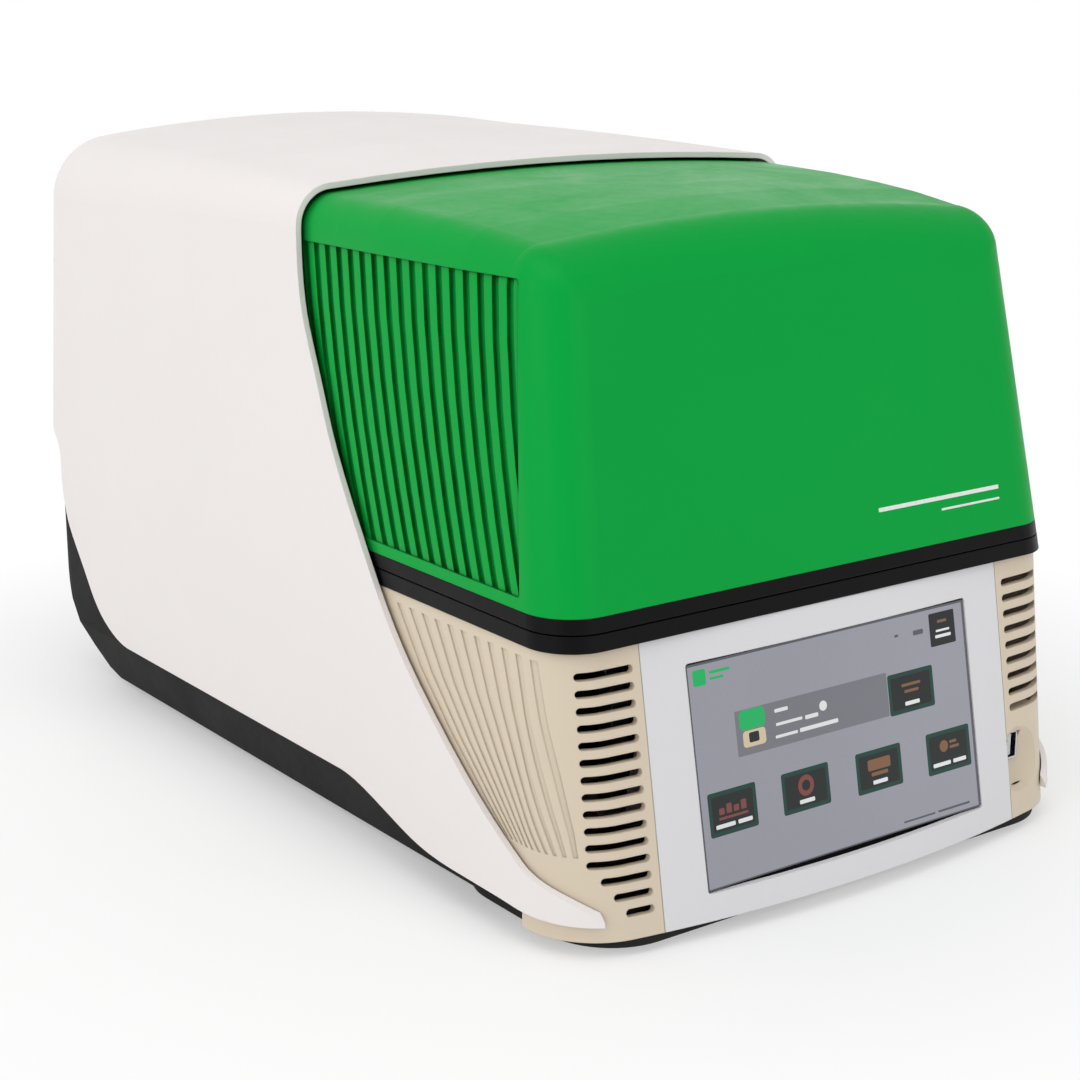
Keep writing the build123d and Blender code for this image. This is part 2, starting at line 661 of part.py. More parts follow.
def rear_screws():
    screws = []
    for x, z in PANEL_SCREWS:
        screw = back_disc(x, z, 3.0, 1.3, 3.25).fuse(back_disc(x, z, 1.5, 3.25, 10.0))
        screws.append(screw - back_disc(x, z, 1.1, 1.0, 2.5))
    for x, z in FAN_SCREWS:
        screw = back_disc(x, z, 3.4, -0.6, 1.45).fuse(back_disc(x, z, 2.0, 1.45, 24.0))
        screws.append(screw - back_disc(x, z, 1.3, -1, 0.6))
    return [biggest(screw) for screw in screws]


# ------------------------------- chassis ------------------------------------
CHASSIS_X = 147
CHASSIS_SIDE = [(-205, 8.5), (212, 8.5), (254, 66), (254, 139.8), (-205, 139.8)]  # (y, z)
# x0, x1, y0, y1, z0, z1 of the cross walls
CHASSIS_WALLS = [
    (-146, 146, -216.5, -215, 8.5, 34),
    (-146, 146, -2, -0.5, 8.5, 40),
    (-146, -100, -2, -0.5, 8.5, 110),
    (40, 146, -2, -0.5, 8.5, 100),
    (-147, 147, 252.5, 254, 68, 108)]


def chassis_frame():
    frame = box(-CHASSIS_X, CHASSIS_X, -236, 212, 8.5, 10.0)
    for side in SIDES:
        frame = frame + prism_yz(CHASSIS_SIDE, side * 145.5, side * CHASSIS_X)
        frame = frame + box(side * 138.5, side * CHASSIS_X, -222, 247, 138.2, 139.8)
        for y in (-200, -60, 90, 200):
            frame = frame + box(side * 139.5, side * CHASSIS_X, y, y + 1.5, 10, 139.8)
    for wall in CHASSIS_WALLS:
        frame = frame + box(*wall)
    for x, y in FEET:
        frame = frame - cyl_z(x, y, 0, 12, 5.2)
    frame = frame - box(-58, 58, -182, -76, 5, 12)
    for i in range(10):
        frame = frame - box(-60 + i * 13, -54 + i * 13, 250, 256, 74, 102)
    for side in SIDES:  # hollow block carrier posts
        for y in (-188, -72):
            frame = frame + (box(side * 74, side * 84, y - 5, y + 5, 10, 100)
                             - box(side * 76, side * 82, y - 3, y + 3, 10, 101))
    return biggest(frame)


def lid_rails():
    """Two rails with a groove along each side and screw holes in the top."""
    rails = []
    for side in SIDES:
        rail = box(side * 140, side * 148, -222, 246, 139.85, 147.5)
        rail = rail - box(side * 139, side * 141.2, -223, 247, 142.4, 144.2)
        rail = rail - box(side * 146.8, side * 149, -223, 247, 142.4, 144.2)
        for k in range(9):
            rail = rail - cyl_z(side * 144, -205 + 55 * k, 145.2, 148, 2.6)
        rails.append(rail)
    return rails


# ---------------------------- thermal stack ----------------------------------
def sample_block():
    block = around_block(62, 43, 3, 116, 122)
    block = block + around_block(59, 40, 3, 122, 125)
    block = block + around_block(56.2, 38.2, 4, 125, BLOCK_TOP)
    wells = [Pos(x, y, BLOCK_TOP - 6.5) * Cone(1.6, 3.35, 13.02)
             for x in WELL_X for y in WELL_Y]
    return biggest(block.cut(*wells))


def block_seal():
    seal = around_block(67.8, 46.8, 5, 122.1, 126.5) - around_block(59.2, 40.2, 3, 121, 128)
    return biggest(seal + (around_block(67.8, 46.8, 5, 126.4, 137.0)
                           - around_block(65.6, 44.6, 4, 126, 138)))


def peltier_modules():
    """Six modules: two plates joined by a grid of small legs."""
    modules = []
    for i in range(3):
        for j in range(2):
            x, y = (i - 1) * 41.0, BLOCK_Y + (j - 0.5) * 42.0
            module = box(x - 20, x + 20, y - 20, y + 20, 112.0, 112.8)
            module = module + box(x - 20, x + 20, y - 20, y + 20, 115.2, 115.95)
            for a in range(7):
                for b in range(7):
                    leg_x, leg_y = x - 18.3 + a * 5.6, y - 18.3 + b * 5.6
                    module = module + box(leg_x, leg_x + 3, leg_y, leg_y + 3, 112.8, 115.2)
            modules.append(module)
    return modules


def heat_sink():
    sink = box(-68, 68, -190, -70, 102, 111.95)
    fins = [box(-66 + i * 4.0, -64.6 + i * 4.0, -188, -72, 54, 102) for i in range(34)]
    sink = sink.fuse(*fins)
    for side in SIDES:
        for y in (-188, -78):
            sink = sink + box(side * 68, side * 84, y, y + 6, 102, 106)
    return biggest(sink)


# (y, z) outer and inner outlines of the duct from the fins back to their fan
DUCT_OUTER = [(-192, 50), (-70, 50), (-40.2, 18), (-40.2, 118), (-62, 118), (-69.4, 112),
              (-69.4, 101.5), (-192, 101.5)]
DUCT_INNER = [(-193, 52), (-69.3, 52), (-39.8, 20.5), (-39.8, 116), (-61, 116),
              (-67.4, 110.6), (-67.4, 101.8), (-193, 101.8)]


def air_duct():
    duct = prism_yz(DUCT_OUTER, -71, 71) - prism_yz(DUCT_INNER, -69, 69)
    duct = biggest(duct - box(-69, 69, -200, -39, 60, 101.8))
    plate = box(-71, 71, -42.4, -40.2, 18, 118) - cyl_y(0, SINK_FAN_Z, -50, -30, 43.0)
    return biggest(duct.fuse(plate) - box(-69, 69, -192.5, -43, 52, 101.8))


def sink_fan_frame():
    frame = box(-46, 46, -40.1, -15, SINK_FAN_Z - 46, SINK_FAN_Z + 46)
    frame = frame - cyl_y(0, SINK_FAN_Z, -60, 0, 43.5)
    frame = frame + cyl_y(0, SINK_FAN_Z, -18, -15, 17)
    for degrees in (45, 135, 225, 315):
        a = math.radians(degrees)
        middle = Pos(30 * math.cos(a), -16.5, SINK_FAN_Z + 30 * math.sin(a))
        frame = frame + middle * Rot(0, -degrees, 0) * Box(32, 3, 4.5)
    return biggest(frame - cyl_y(0, SINK_FAN_Z, -50, 0, 2.05))


def sink_fan_rotor():
    rotor = cyl_y(0, SINK_FAN_Z, -38.5, -18.6, 16.5) + cyl_y(0, SINK_FAN_Z, -18.8, -15.4, 2.0)
    blade = Pos(29.0, 0, 0) * Rot(40, 0, 0) * Box(27.0, 1.8, 19.0)
    for k in range(9):
        rotor = rotor + Pos(0, -28.5, SINK_FAN_Z) * Rot(0, 40 * k, 0) * blade
    return biggest(rotor)


# ------------------------------ electronics ---------------------------------
# x0, x1, y0, y1, z0, z1: floor, sides, top, board, then the components
SUPPLY_BOXES = [
    (44, 138, 2, 212, 11, 13), (44, 45.2, 2, 212, 11, 62), (136.8, 138, 2, 212, 11, 62),
    (44, 138, 2, 212, 60.8, 62), (45, 137, 8, 206, 13, 15.0), (52, 82, 20, 64, 15, 44),
    (90, 130, 24, 72, 15, 52), (54, 70, 90, 170, 15, 50), (112, 128, 90, 170, 15, 50)]


def power_supply():
    supply = box(*SUPPLY_BOXES[0])
    for extents in SUPPLY_BOXES[1:]:
        supply = supply + box(*extents)
    for k in range(4):
        supply = supply + cyl_z(91, 98 + 20 * k, 15, 42, 9)
    for i in range(11):
        for j in range(5):
            supply = supply - cyl_z(57 + j * 17, 15 + i * 18.2, 60, 63, 4.2)
    return biggest(supply)


BOARD_TOP = 22.6
# x0, x1, y0, y1, top z
BOARD_BOXES = [
    (-102, -82, 18, 32, 33.4), (-60, -30, 60, 90, 26.5), (-20, -6, 60, 84, 25),
    (-100, -76, 40, 70, 32), (-118, -92, 100, 150, 38), (-80, -64, 110, 126, 25.0),
    (-60, -44, 108, 138, 24.6), (-34, -22, 104, 150, 31), (0, 14, 100, 170, 34),
    (-120, -70, 180, 214, 40), (-56, -10, 190, 220, 30), (-12, 8, 30, 52, 33)]
# x, y, top z
BOARD_CANS = [(-104, 84, 40), (-86, 84, 40), (-48, 158, 36), (-48, 172, 36), (-84, 160, 42),
              (-84, 142, 42)]


def main_board():
    board = box(-132, 20, 14, 222, 21.0, BOARD_TOP)
    for x in (-126, 14):
        for y in (20, 206):
            board = board + cyl_z(x, y, 10.0, 21.0, 3.0)
    for x0, x1, y0, y1, top in BOARD_BOXES:
        board = board + box(x0, x1, y0, y1, BOARD_TOP, top)
    for x, y, top in BOARD_CANS:
        board = board + cyl_z(x, y, BOARD_TOP, top, 5.5)
    return biggest(board)


# (y, z) centre line of the ribbon from the display board back to the main board
CABLE_PATH = [
    (-243.5, 96.0), (-232.0, 90.0), (-224.0, 60.0), (-222.0, 40.0), (-205.0, 38.0),
    (-8.0, 42.6), (6.0, 41.0), (12.0, 36.0), (26.0, 34.2)]
CABLE_HALF_THICKNESS = 0.5


def display_cable():
    upper, lower = [], []
    for i, (y, z) in enumerate(CABLE_PATH):
        before = CABLE_PATH[max(i - 1, 0)]
        after = CABLE_PATH[min(i + 1, len(CABLE_PATH) - 1)]
        dy, dz = after[0] - before[0], after[1] - before[1]
        scale = CABLE_HALF_THICKNESS / math.hypot(dy, dz)
        upper.append((y - dz * scale, z + dy * scale))
        lower.append((y + dz * scale, z - dy * scale))
    return prism_yz(upper + lower[::-1], -98.0, -86.0)


def front_usb_port():
    sleeve = (box(121.3, 128.7, -259.6, -240, 34.4, 49.8)
              - box(122.4, 127.6, -280, -244, 35.6, 48.6))
    tongue = box(123.6, 124.9, -258.6, -243.9, 36.4, 47.8)
    return sleeve.fuse(tongue).fuse(box(117, 133, -240.1, -238.5, 30, 54))


# ------------------------------ lid drive -----------------------------------
def involute_gear():
    """Pinion blank with involute teeth, one tooth pointing up."""
    base_r = PINION_R * math.cos(PRESSURE_ANGLE)
    tip_r, root_r = PINION_R + ADDENDUM, PINION_R - DEDENDUM
    start_r = max(base_r, root_r)

    def involute(angle):
        return math.tan(angle) - angle

    half = (math.pi * RACK_MODULE / 2 - TOOTH_SLACK) / (2 * PINION_R)
    flank = []  # radius, half angle of the tooth there
    for i in range(7):
        r = start_r + (tip_r - start_r) * i / 6
        roll = math.acos(min(1.0, base_r / r))
        flank.append((r, half + involute(PRESSURE_ANGLE) - involute(roll)))
    root = (root_r, flank[0][1])
    tooth = [(r, -a) for r, a in [root] + flank] + flank[::-1] + [root]
    points = []
    for k in range(PINION_TEETH):
        middle = math.pi / 2 + 2 * math.pi * k / PINION_TEETH
        points += [(PINION_Y + r * math.cos(middle + a), PINION_Z + r * math.sin(middle + a))
                   for r, a in tooth]
    return prism_yz(points, *GEAR_X)


def lid_pinion():
    pinion = involute_gear()
    pinion = pinion.fuse(cyl_x(PINION_Y, PINION_Z, 118.8, 120.0, 7.0),
                         cyl_x(PINION_Y, PINION_Z, 104.0, 118.8, 3.0))
    for k in range(5):
        a = math.radians(72 * k + 36)
        y, z = PINION_Y + 9.4 * math.cos(a), PINION_Z + 9.4 * math.sin(a)
        pinion = pinion - cyl_x(y, z, 117, 128, 2.2)
    return biggest(pinion)


def lid_rack():
    """Rack with teeth pointing down; the pinion's top tooth sits between two of them."""
    pitch = math.pi * RACK_MODULE
    half = (pitch / 2 - TOOTH_SLACK) / 2
    slope = math.tan(PRESSURE_ANGLE)
    root_z, tip_z, top_z = PITCH_Z + DEDENDUM, PITCH_Z - ADDENDUM, 156.5
    root_half, tip_half = half + DEDENDUM * slope, half - ADDENDUM * slope
    points = [(-176.0, top_z), (-176.0, root_z)]
    k = math.ceil((-175.0 - PINION_Y) / pitch - 0.5)
    while (y := PINION_Y + (k + 0.5) * pitch) <= 17.5:
        points += [(y - root_half, root_z), (y - tip_half, tip_z),
                   (y + tip_half, tip_z), (y + root_half, root_z)]
        k += 1
    points += [(19.0, root_z), (19.0, top_z)]
    return prism_yz(points, *GEAR_X)


def lid_motor():
    motor = box(96, 118.5, PINION_Y - 14, PINION_Y + 14, 121.5, 147)
    motor = motor - cyl_x(PINION_Y, PINION_Z, 103.5, 119, 3.05)
    motor = motor + cyl_x(PINION_Y, 134.0, 54, 96, 11.5) + cyl_x(PINION_Y, 134.0, 50, 54, 5.0)
    motor = motor + box(57, 60, PINION_Y - 4, PINION_Y + 4, 145, 146.2)
    # angle bracket under the gearbox
    motor = motor + box(97.5, 117, -0.4, 1.4, 101, 121.6) + box(97.5, 117, -0.4, 14, 101, 102.6)
    return biggest(motor)


# ------------------------------ lid frame -----------------------------------
def lid_frame():
    frame = box(-144, 144, -218, 14, *FRAME_TOP)
    for side in SIDES:
        frame = frame + box(side * 142.5, side * 144, -218, 14, 152.6, FRAME_TOP[1])
        frame = frame + box(side * 137.5, side * 144, -218, 14, 152.6, 154.1)
        for y in (-190, -130, -70, -10):
            frame = frame - box(side * 140, side * 146, y - 20, y + 20, 172, 210)
    frame = frame + box(118, 143, -178, 14, 156.6, 158.1)  # shelf over the rack
    # end walls that hold the gantry rods, with a window in each
    frame = frame + box(-84, 84, -216.5, -214.5, 181, 226.2) + box(-84, 84, -28, -26, 181, 226.2)
    frame = frame - box(-64, 64, -230, -200, 184, 206) - box(-56, 56, -40, -20, 181, 206)
    frame = frame + box(97.2, 99.2, -213, -199, 184, 226.2)  # idler hanger
    frame = frame - box(-70, 70, -196, -64, 225, 229)
    for x, y in POSTS:
        frame = frame - cyl_z(x, y, 220, 230, 3.0)
    for side in SIDES:
        frame = frame - cyl_z(side * SCREW_X, BLOCK_Y, 220, 230, 3.05)
        frame = frame - cyl_y(side * ROD_X, OPT_Z, -218, -20, 4.0)
    return biggest(frame - cyl_x(GANTRY_IDLER_Y, OPT_Z, 96, 101, 2.06))


def lid_carriages():
    carriages = []
    for side in SIDES:
        for y in (-202.0, -42.0):
            block = (box(side * 137.3, side * 150.7, y, y + 34, 141.9, 152.55)
                     - box(side * 139.92, side * 148.08, y - 1, y + 35, 140, 147.6))
            # lips that run in the rail grooves
            block = block + box(side * 139.9, side * 141.0, y, y + 34, 142.7, 143.9)
            block = block + box(side * 147.0, side * 148.1, y, y + 34, 142.7, 143.9)
            for hole_y in (y + 6, y + 28):
                block = block - cyl_z(side * 142.0, hole_y, 150, 153, 1.6)
            carriages.append(biggest(block))
    return carriages


def heater_guide_posts():
    return [fuse([cyl_z(x, y, 152.0, 227.5, 3.0), cyl_z(x, y, 150.0, 152.0, 4.6),
                  cyl_z(x, y, 227.5, 229.3, 4.8)]) for x, y in POSTS]


# ------------------------------ heated plate --------------------------------
def heater_plate():
    plate = around_block(62, 43, 3, HEAT_Z0, HEAT_Z0 + 4.0)
    return biggest(plate.cut(*[cyl_z(x, y, HEAT_Z0 - 1, HEAT_Z0 + 5, 3.0)
                               for x in WELL_X for y in WELL_Y]))


def heater_frame():
    frame = around_block(70, 51, 5, HEAT_Z0 + 4.02, 164.0) - around_block(57, 38, 3, 150, 170)
    for side in SIDES:  # windowed wings with a boss for each press screw
        frame = frame + box(side * 68, side * 111, BLOCK_Y - 39, BLOCK_Y + 39, 158, 164)
        frame = frame - box(side * 78, side * 94, BLOCK_Y - 22, BLOCK_Y + 22, 150, 170)
        frame = frame + cyl_z(side * SCREW_X, BLOCK_Y, 158, 170, 6.5)
        frame = frame - cyl_z(side * SCREW_X, BLOCK_Y, 150, 175, 3.05)
    for x, y in POSTS:
        frame = frame - cyl_z(x, y, 150, 170, 3.05)
    return biggest(frame)


SPRING_Z = (164.9, 225.1)
SPRING_TURNS = 9.0
SPRING_R = 4.5
SPRING_WIRE_R = 0.7


def heater_springs():
    height = SPRING_Z[1] - SPRING_Z[0]
    springs = []
    for x, y in POSTS:
        helix = Helix(pitch=height / SPRING_TURNS, height=height, radius=SPRING_R)
        profile = Plane(origin=helix @ 0, z_dir=helix % 0) * Circle(SPRING_WIRE_R)
        springs.append(Pos(x, y, SPRING_Z[0]) * sweep(profile, path=helix, is_frenet=True))
    return springs


def press_screw(x, shaft_top):
    """Screw with a flanged pulley on top and a slot across its lower end."""
    screw = cyl_z(x, BLOCK_Y, 154.5, 230.0, 3.0)
    for z0, z1, r in ((229.4, 230.4, 10.6), (230.4, 236.6, 9.0), (236.6, 237.4, 10.6),
                      (237.4, shaft_top, 2.0)):
        screw = screw + cyl_z(x, BLOCK_Y, z0, z1, r)
    return biggest(screw - box(x - 0.6, x + 0.6, BLOCK_Y - 10, BLOCK_Y + 10, 154, 156))


def press_screw_left():
    """Reaches up into the press motor."""
    return press_screw(-SCREW_X, 246.0)


def press_screw_right():
    return press_screw(SCREW_X, 238.4)


def press_belt():
    def filled(r, z0, z1):
        return fuse([box(-SCREW_X, SCREW_X, BLOCK_Y - r, BLOCK_Y + r, z0, z1),
                     cyl_z(-SCREW_X, BLOCK_Y, z0, z1, r), cyl_z(SCREW_X, BLOCK_Y, z0, z1, r)])

    return biggest(filled(10.2, 230.7, 236.3) - filled(9.06, 230, 237))


def press_motor():
    x, y = -SCREW_X, BLOCK_Y
    motor = cyl_z(x, y, 240.0, 268.0, 13.5) + box(x - 21, x + 21, y - 20, y + 20, 238.6, 240.2)
    for a in SIDES:
        for b in SIDES:
            motor = motor + box(x + a * 17, x + a * 21, y + b * 16, y + b * 20, 227.55, 238.8)
    return biggest(motor - cyl_z(x, y, 238, 248, 2.06) + cyl_z(x, y, 268, 270, 4))


# ------------------------------ optics gantry -------------------------------
def gantry_rods():
    return [cyl_y(side * ROD_X, OPT_Z, -217.5, -25, 4.0) for side in SIDES]


def pulley(cylinder, centre, start, end, shaft_start, shaft_end):
    """Flanged pulley and shaft; cylinder is cyl_x or cyl_y, centre its y or x."""
    return fuse([cylinder(centre, OPT_Z, a, b, r) for a, b, r in (
        (start + 1, end - 1, 6.0), (start, start + 1, 7.8), (end - 1, end, 7.8),
        (shaft_start, shaft_end, 2.0))])


def gantry_drive_pulley():
    return pulley(cyl_x, GANTRY_DRIVE_Y, 87.0, 95.6, 95.0, 104.0)


def gantry_idler_pulley():
    return pulley(cyl_x, GANTRY_IDLER_Y, 87.0, 95.6, 95.0, 101.0)


def shuttle_drive_pulley():
    return pulley(cyl_y, -SHUTTLE_PULLEY_X, -110.0, -102.0, -102.5, -92.0)


def shuttle_idler_pulley():
    return pulley(cyl_y, SHUTTLE_PULLEY_X, -110.0, -102.0, -102.5, -99.9)


def gantry_belt():
    def filled(r, x0, x1):
        bar = box(x0, x1, GANTRY_IDLER_Y, GANTRY_DRIVE_Y, OPT_Z - r, OPT_Z + r)
        return (bar + cyl_x(GANTRY_IDLER_Y, OPT_Z, x0, x1, r)
                + cyl_x(GANTRY_DRIVE_Y, OPT_Z, x0, x1, r))

    return biggest(filled(7.2, 88.3, 94.3) - filled(6.06, 88, 95))


def shuttle_belt():
    def filled(r, y0, y1):
        bar = box(-SHUTTLE_PULLEY_X, SHUTTLE_PULLEY_X, y0, y1, OPT_Z - r, OPT_Z + r)
        return (bar + cyl_y(-SHUTTLE_PULLEY_X, OPT_Z, y0, y1, r)
                + cyl_y(SHUTTLE_PULLEY_X, OPT_Z, y0, y1, r))

    return biggest(filled(7.2, -108.8, -103.2) - filled(6.06, -109, -103))


def gantry_motor():
    y = GANTRY_DRIVE_Y
    motor = cyl_x(y, OPT_Z, 97.4, 120, 10.5) - cyl_x(y, OPT_Z, 97, 105, 2.06)
    motor = motor + (box(97.4, 99.2, y - 11, y + 11, 181, 225.95)
                     - cyl_x(y, OPT_Z, 96, 100, 2.06))
    return biggest(motor + box(97.4, 116, y - 11, y + 11, 224.4, 225.95))


def shuttle_motor():
    x = -SHUTTLE_PULLEY_X
    motor = cyl_y(x, OPT_Z, -99.7, -78, 10.0) - cyl_y(x, OPT_Z, -100, -91, 2.06)
    return biggest(motor + box(x - 5, x + 5, -78, -74, OPT_Z - 4, OPT_Z + 4))


def gantry_carriage():
    """Two bearing blocks joined by cross rods and a rear plate."""
    items = []
    for side in SIDES:
        items.append(box(side * 66, side * 82, -148, -112, 181, 203))
        items.append(box(side * 66, side * 82, -112.5, -99.8, 183, 203))
        items.append(cyl_x(CROSS_ROD_Y[0], OPT_Z, side * 60, side * 70, 3.0))
    for y in CROSS_ROD_Y:
        items.append(cyl_x(y, OPT_Z, -67, 67, 3.0))
    items.append(box(-82, 82, -101.4, -99.8, 183, 203))
    carriage = fuse(items)
    for side in SIDES:
        carriage = carriage - cyl_y(side * ROD_X, OPT_Z, -150, -98, 4.05)
    # clamp round the lower run of the gantry belt
    carriage = carriage + (box(81.5, 96.6, -137, -123, 182.4, 188.4)
                           - box(87.8, 94.8, -138, -122, 184.4, 186.4))
    for side in SIDES:
        carriage = carriage - cyl_y(side * SHUTTLE_PULLEY_X, OPT_Z, -102, -99, 2.06)
    return biggest(carriage)


def optics_shuttle():
    shuttle = around_block(24, 19, 3, 180.5, 207)
    for y in CROSS_ROD_Y:
        shuttle = shuttle - cyl_x(y, OPT_Z, -30, 30, 3.05)
    shuttle = shuttle - box(-15, 15, -138, -122, 200, 208)
    for x, y in LENS_AT:
        shuttle = shuttle + cyl_z(x, y, 170.0, 181, 4.1)
    for x, y in LENS_AT:
        shuttle = shuttle - cyl_z(x, y, 169, 176, 3.2)
    # clamp round the lower run of the shuttle belt
    return biggest(shuttle + (box(-8, 8, -112, -102.3, 182.4, 188.4)
                              - box(-9, 9, -109.1, -102, 184.4, 186.4)))


def shuttle_lenses():
    lenses = []
    for x, y in LENS_AT:
        dome = Pos(x, y, 176.6) * Sphere(6.2) & cyl_z(x, y, 169, 171.3, 3.1)
        lenses.append(biggest(cyl_z(x, y, 171.2, 173.6, 3.2) + dome))
    return lenses


# x0, x1, y0, y1, top z
LID_BOARD_BOXES = [
    (-50, -30, -40, -20, 236), (-20, -6, -44, -28, 235.5), (4, 26, -40, -12, 235.8),
    (34, 52, -46, -38, 240), (34, 52, -30, -22, 240), (-46, -34, -10, 2, 241),
    (-20, 10, -4, 3, 239)]


def lid_control_board():
    board = box(-60, 60, -56, 6, 232.0, 233.6)
    for x in (-54, 54):
        for y in (-50, 0):
            board = board + cyl_z(x, y, 227.55, 232.0, 2.8)
    for x0, x1, y0, y1, top in LID_BOARD_BOXES:
        board = board + box(x0, x1, y0, y1, 233.6, top)
    return biggest(board)


# ------------------------------- output -------------------------------------
# each function is named after the file it fills
PIECES = [
    rear_shell, base_tray, rubber_feet, left_cowl, right_cowl, front_bezel,
    touchscreen_glass, display_module, lid_cover, lid_skirt, deck_plate, rear_panel,
    exhaust_fan_frames, fan_guards, exhaust_rotor_left, exhaust_rotor_right, power_inlet,
    power_switch_frame, power_switch_rocker, data_ports, chassis_frame, lid_rails,
    sample_block, block_seal, peltier_modules, heat_sink, air_duct, sink_fan_frame,
    sink_fan_rotor, power_supply, main_board, display_cable, front_usb_port, lid_pinion,
    lid_rack, lid_motor, lid_frame, lid_carriages, heater_guide_posts, heater_plate,
    heater_frame, heater_springs, press_screw_left, press_screw_right, press_belt,
    press_motor, gantry_rods, gantry_drive_pulley, gantry_idler_pulley, gantry_belt,
    gantry_motor, gantry_carriage, shuttle_drive_pulley, shuttle_idler_pulley,
    shuttle_belt, shuttle_motor, optics_shuttle, shuttle_lenses, lid_control_board,
    rear_screws]

for piece in PIECES:
    built = piece()
    solids = [item.solids()[0] for item in (built if isinstance(built, list) else [built])]
    body = solids[0] if len(solids) == 1 else Compound(solids)
    body.label = piece.__name__
    export_step(body, os.path.join("parts", piece.__name__ + ".step"))
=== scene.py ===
"""A bench instrument: a pale body with a leaning touch screen in front, a green lid on top
and two round fan guards on its leaning back.

It stands on the floor at z = 0. Its front faces -Y, +X is to the right seen from the
front, and +Z is up. Sizes are in millimetres and turned into metres with MM, except in
the materials, the camera, the lights and the floor, which are in metres.
"""
import json
import math

import bmesh
import bpy
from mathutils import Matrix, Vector


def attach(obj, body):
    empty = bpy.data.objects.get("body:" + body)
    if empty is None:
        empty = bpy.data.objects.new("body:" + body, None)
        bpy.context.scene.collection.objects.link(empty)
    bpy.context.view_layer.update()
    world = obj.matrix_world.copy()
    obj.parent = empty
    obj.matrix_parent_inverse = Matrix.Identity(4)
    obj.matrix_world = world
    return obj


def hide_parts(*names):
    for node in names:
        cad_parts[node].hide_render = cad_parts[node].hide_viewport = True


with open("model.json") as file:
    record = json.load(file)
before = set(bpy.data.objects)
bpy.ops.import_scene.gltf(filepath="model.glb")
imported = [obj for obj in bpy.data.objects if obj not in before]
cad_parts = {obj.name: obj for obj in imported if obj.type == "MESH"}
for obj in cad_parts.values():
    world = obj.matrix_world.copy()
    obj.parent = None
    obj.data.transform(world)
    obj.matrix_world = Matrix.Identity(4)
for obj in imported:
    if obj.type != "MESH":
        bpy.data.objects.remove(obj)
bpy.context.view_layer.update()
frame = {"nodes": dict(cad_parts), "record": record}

MM = 0.001
RIGHT = Vector((1.0, 0.0, 0.0))

# Leaning front: y grows by FRONT_SLOPE for each unit of height
FRONT_SLOPE = 0.19
FRONT_STRETCH = math.hypot(1.0, FRONT_SLOPE)
FRONT_UP = Vector((0.0, FRONT_SLOPE / FRONT_STRETCH, 1.0 / FRONT_STRETCH))
FRONT_OUT = Vector((0.0, -1.0 / FRONT_STRETCH, FRONT_SLOPE / FRONT_STRETCH))

# Screen: its plane passes through y = SCREEN_FOOT_Y at z = SCREEN_FOOT_Z
SCREEN_FOOT_Y = -275.4
SCREEN_FOOT_Z = 10.0
SCREEN_MIDDLE_Z = 73.0
SCREEN_WIDTH = 179.4
SCREEN_RISE = 105.0  # upright height, before the lean
SCREEN_HEIGHT = SCREEN_RISE * FRONT_STRETCH
SCREEN_MIDDLE_Y = SCREEN_FOOT_Y + FRONT_SLOPE * (SCREEN_MIDDLE_Z - SCREEN_FOOT_Z)
SCREEN_MIDDLE = Vector((0.0, SCREEN_MIDDLE_Y, SCREEN_MIDDLE_Z)) * MM

LID_FRONT_Y = -279.5  # where the lid's front plane meets z = 0

# Leaning back: y shrinks by BACK_SLOPE for each unit of height
BACK_SLOPE = 0.09
BACK_STRETCH = math.hypot(1.0, BACK_SLOPE)
BACK_UP = Vector((0.0, -BACK_SLOPE / BACK_STRETCH, 1.0 / BACK_STRETCH))
BACK_OUT = Vector((0.0, 1.0 / BACK_STRETCH, BACK_SLOPE / BACK_STRETCH))
BACK_Y = 293.8  # outer face of the back at z = 0


# ---------------------------------------------------------------------------
# Node helpers
# ---------------------------------------------------------------------------
class Graph:
    """An emptied node tree, with a short way to add nodes."""

    def __init__(self, tree):
        self.tree = tree
        tree.nodes.clear()

    def put(self, socket, value):
        """Link an output to the socket, or set the socket's value."""
        if hasattr(value, "is_output"):
            self.tree.links.new(value, socket)
        else:
            socket.default_value = value

    def add(self, kind, *ordered, settings=None, **named):
        """Add a node; ordered values fill its first inputs, and _ in a name is a space."""
        node = self.tree.nodes.new("ShaderNode" + kind)
        for name, value in (settings or {}).items():
            setattr(node, name, value)
        for i, value in enumerate(ordered):
            self.put(node.inputs[i], value)
        for name, value in named.items():
            self.put(node.inputs[name.replace("_", " ")], value)
        return node


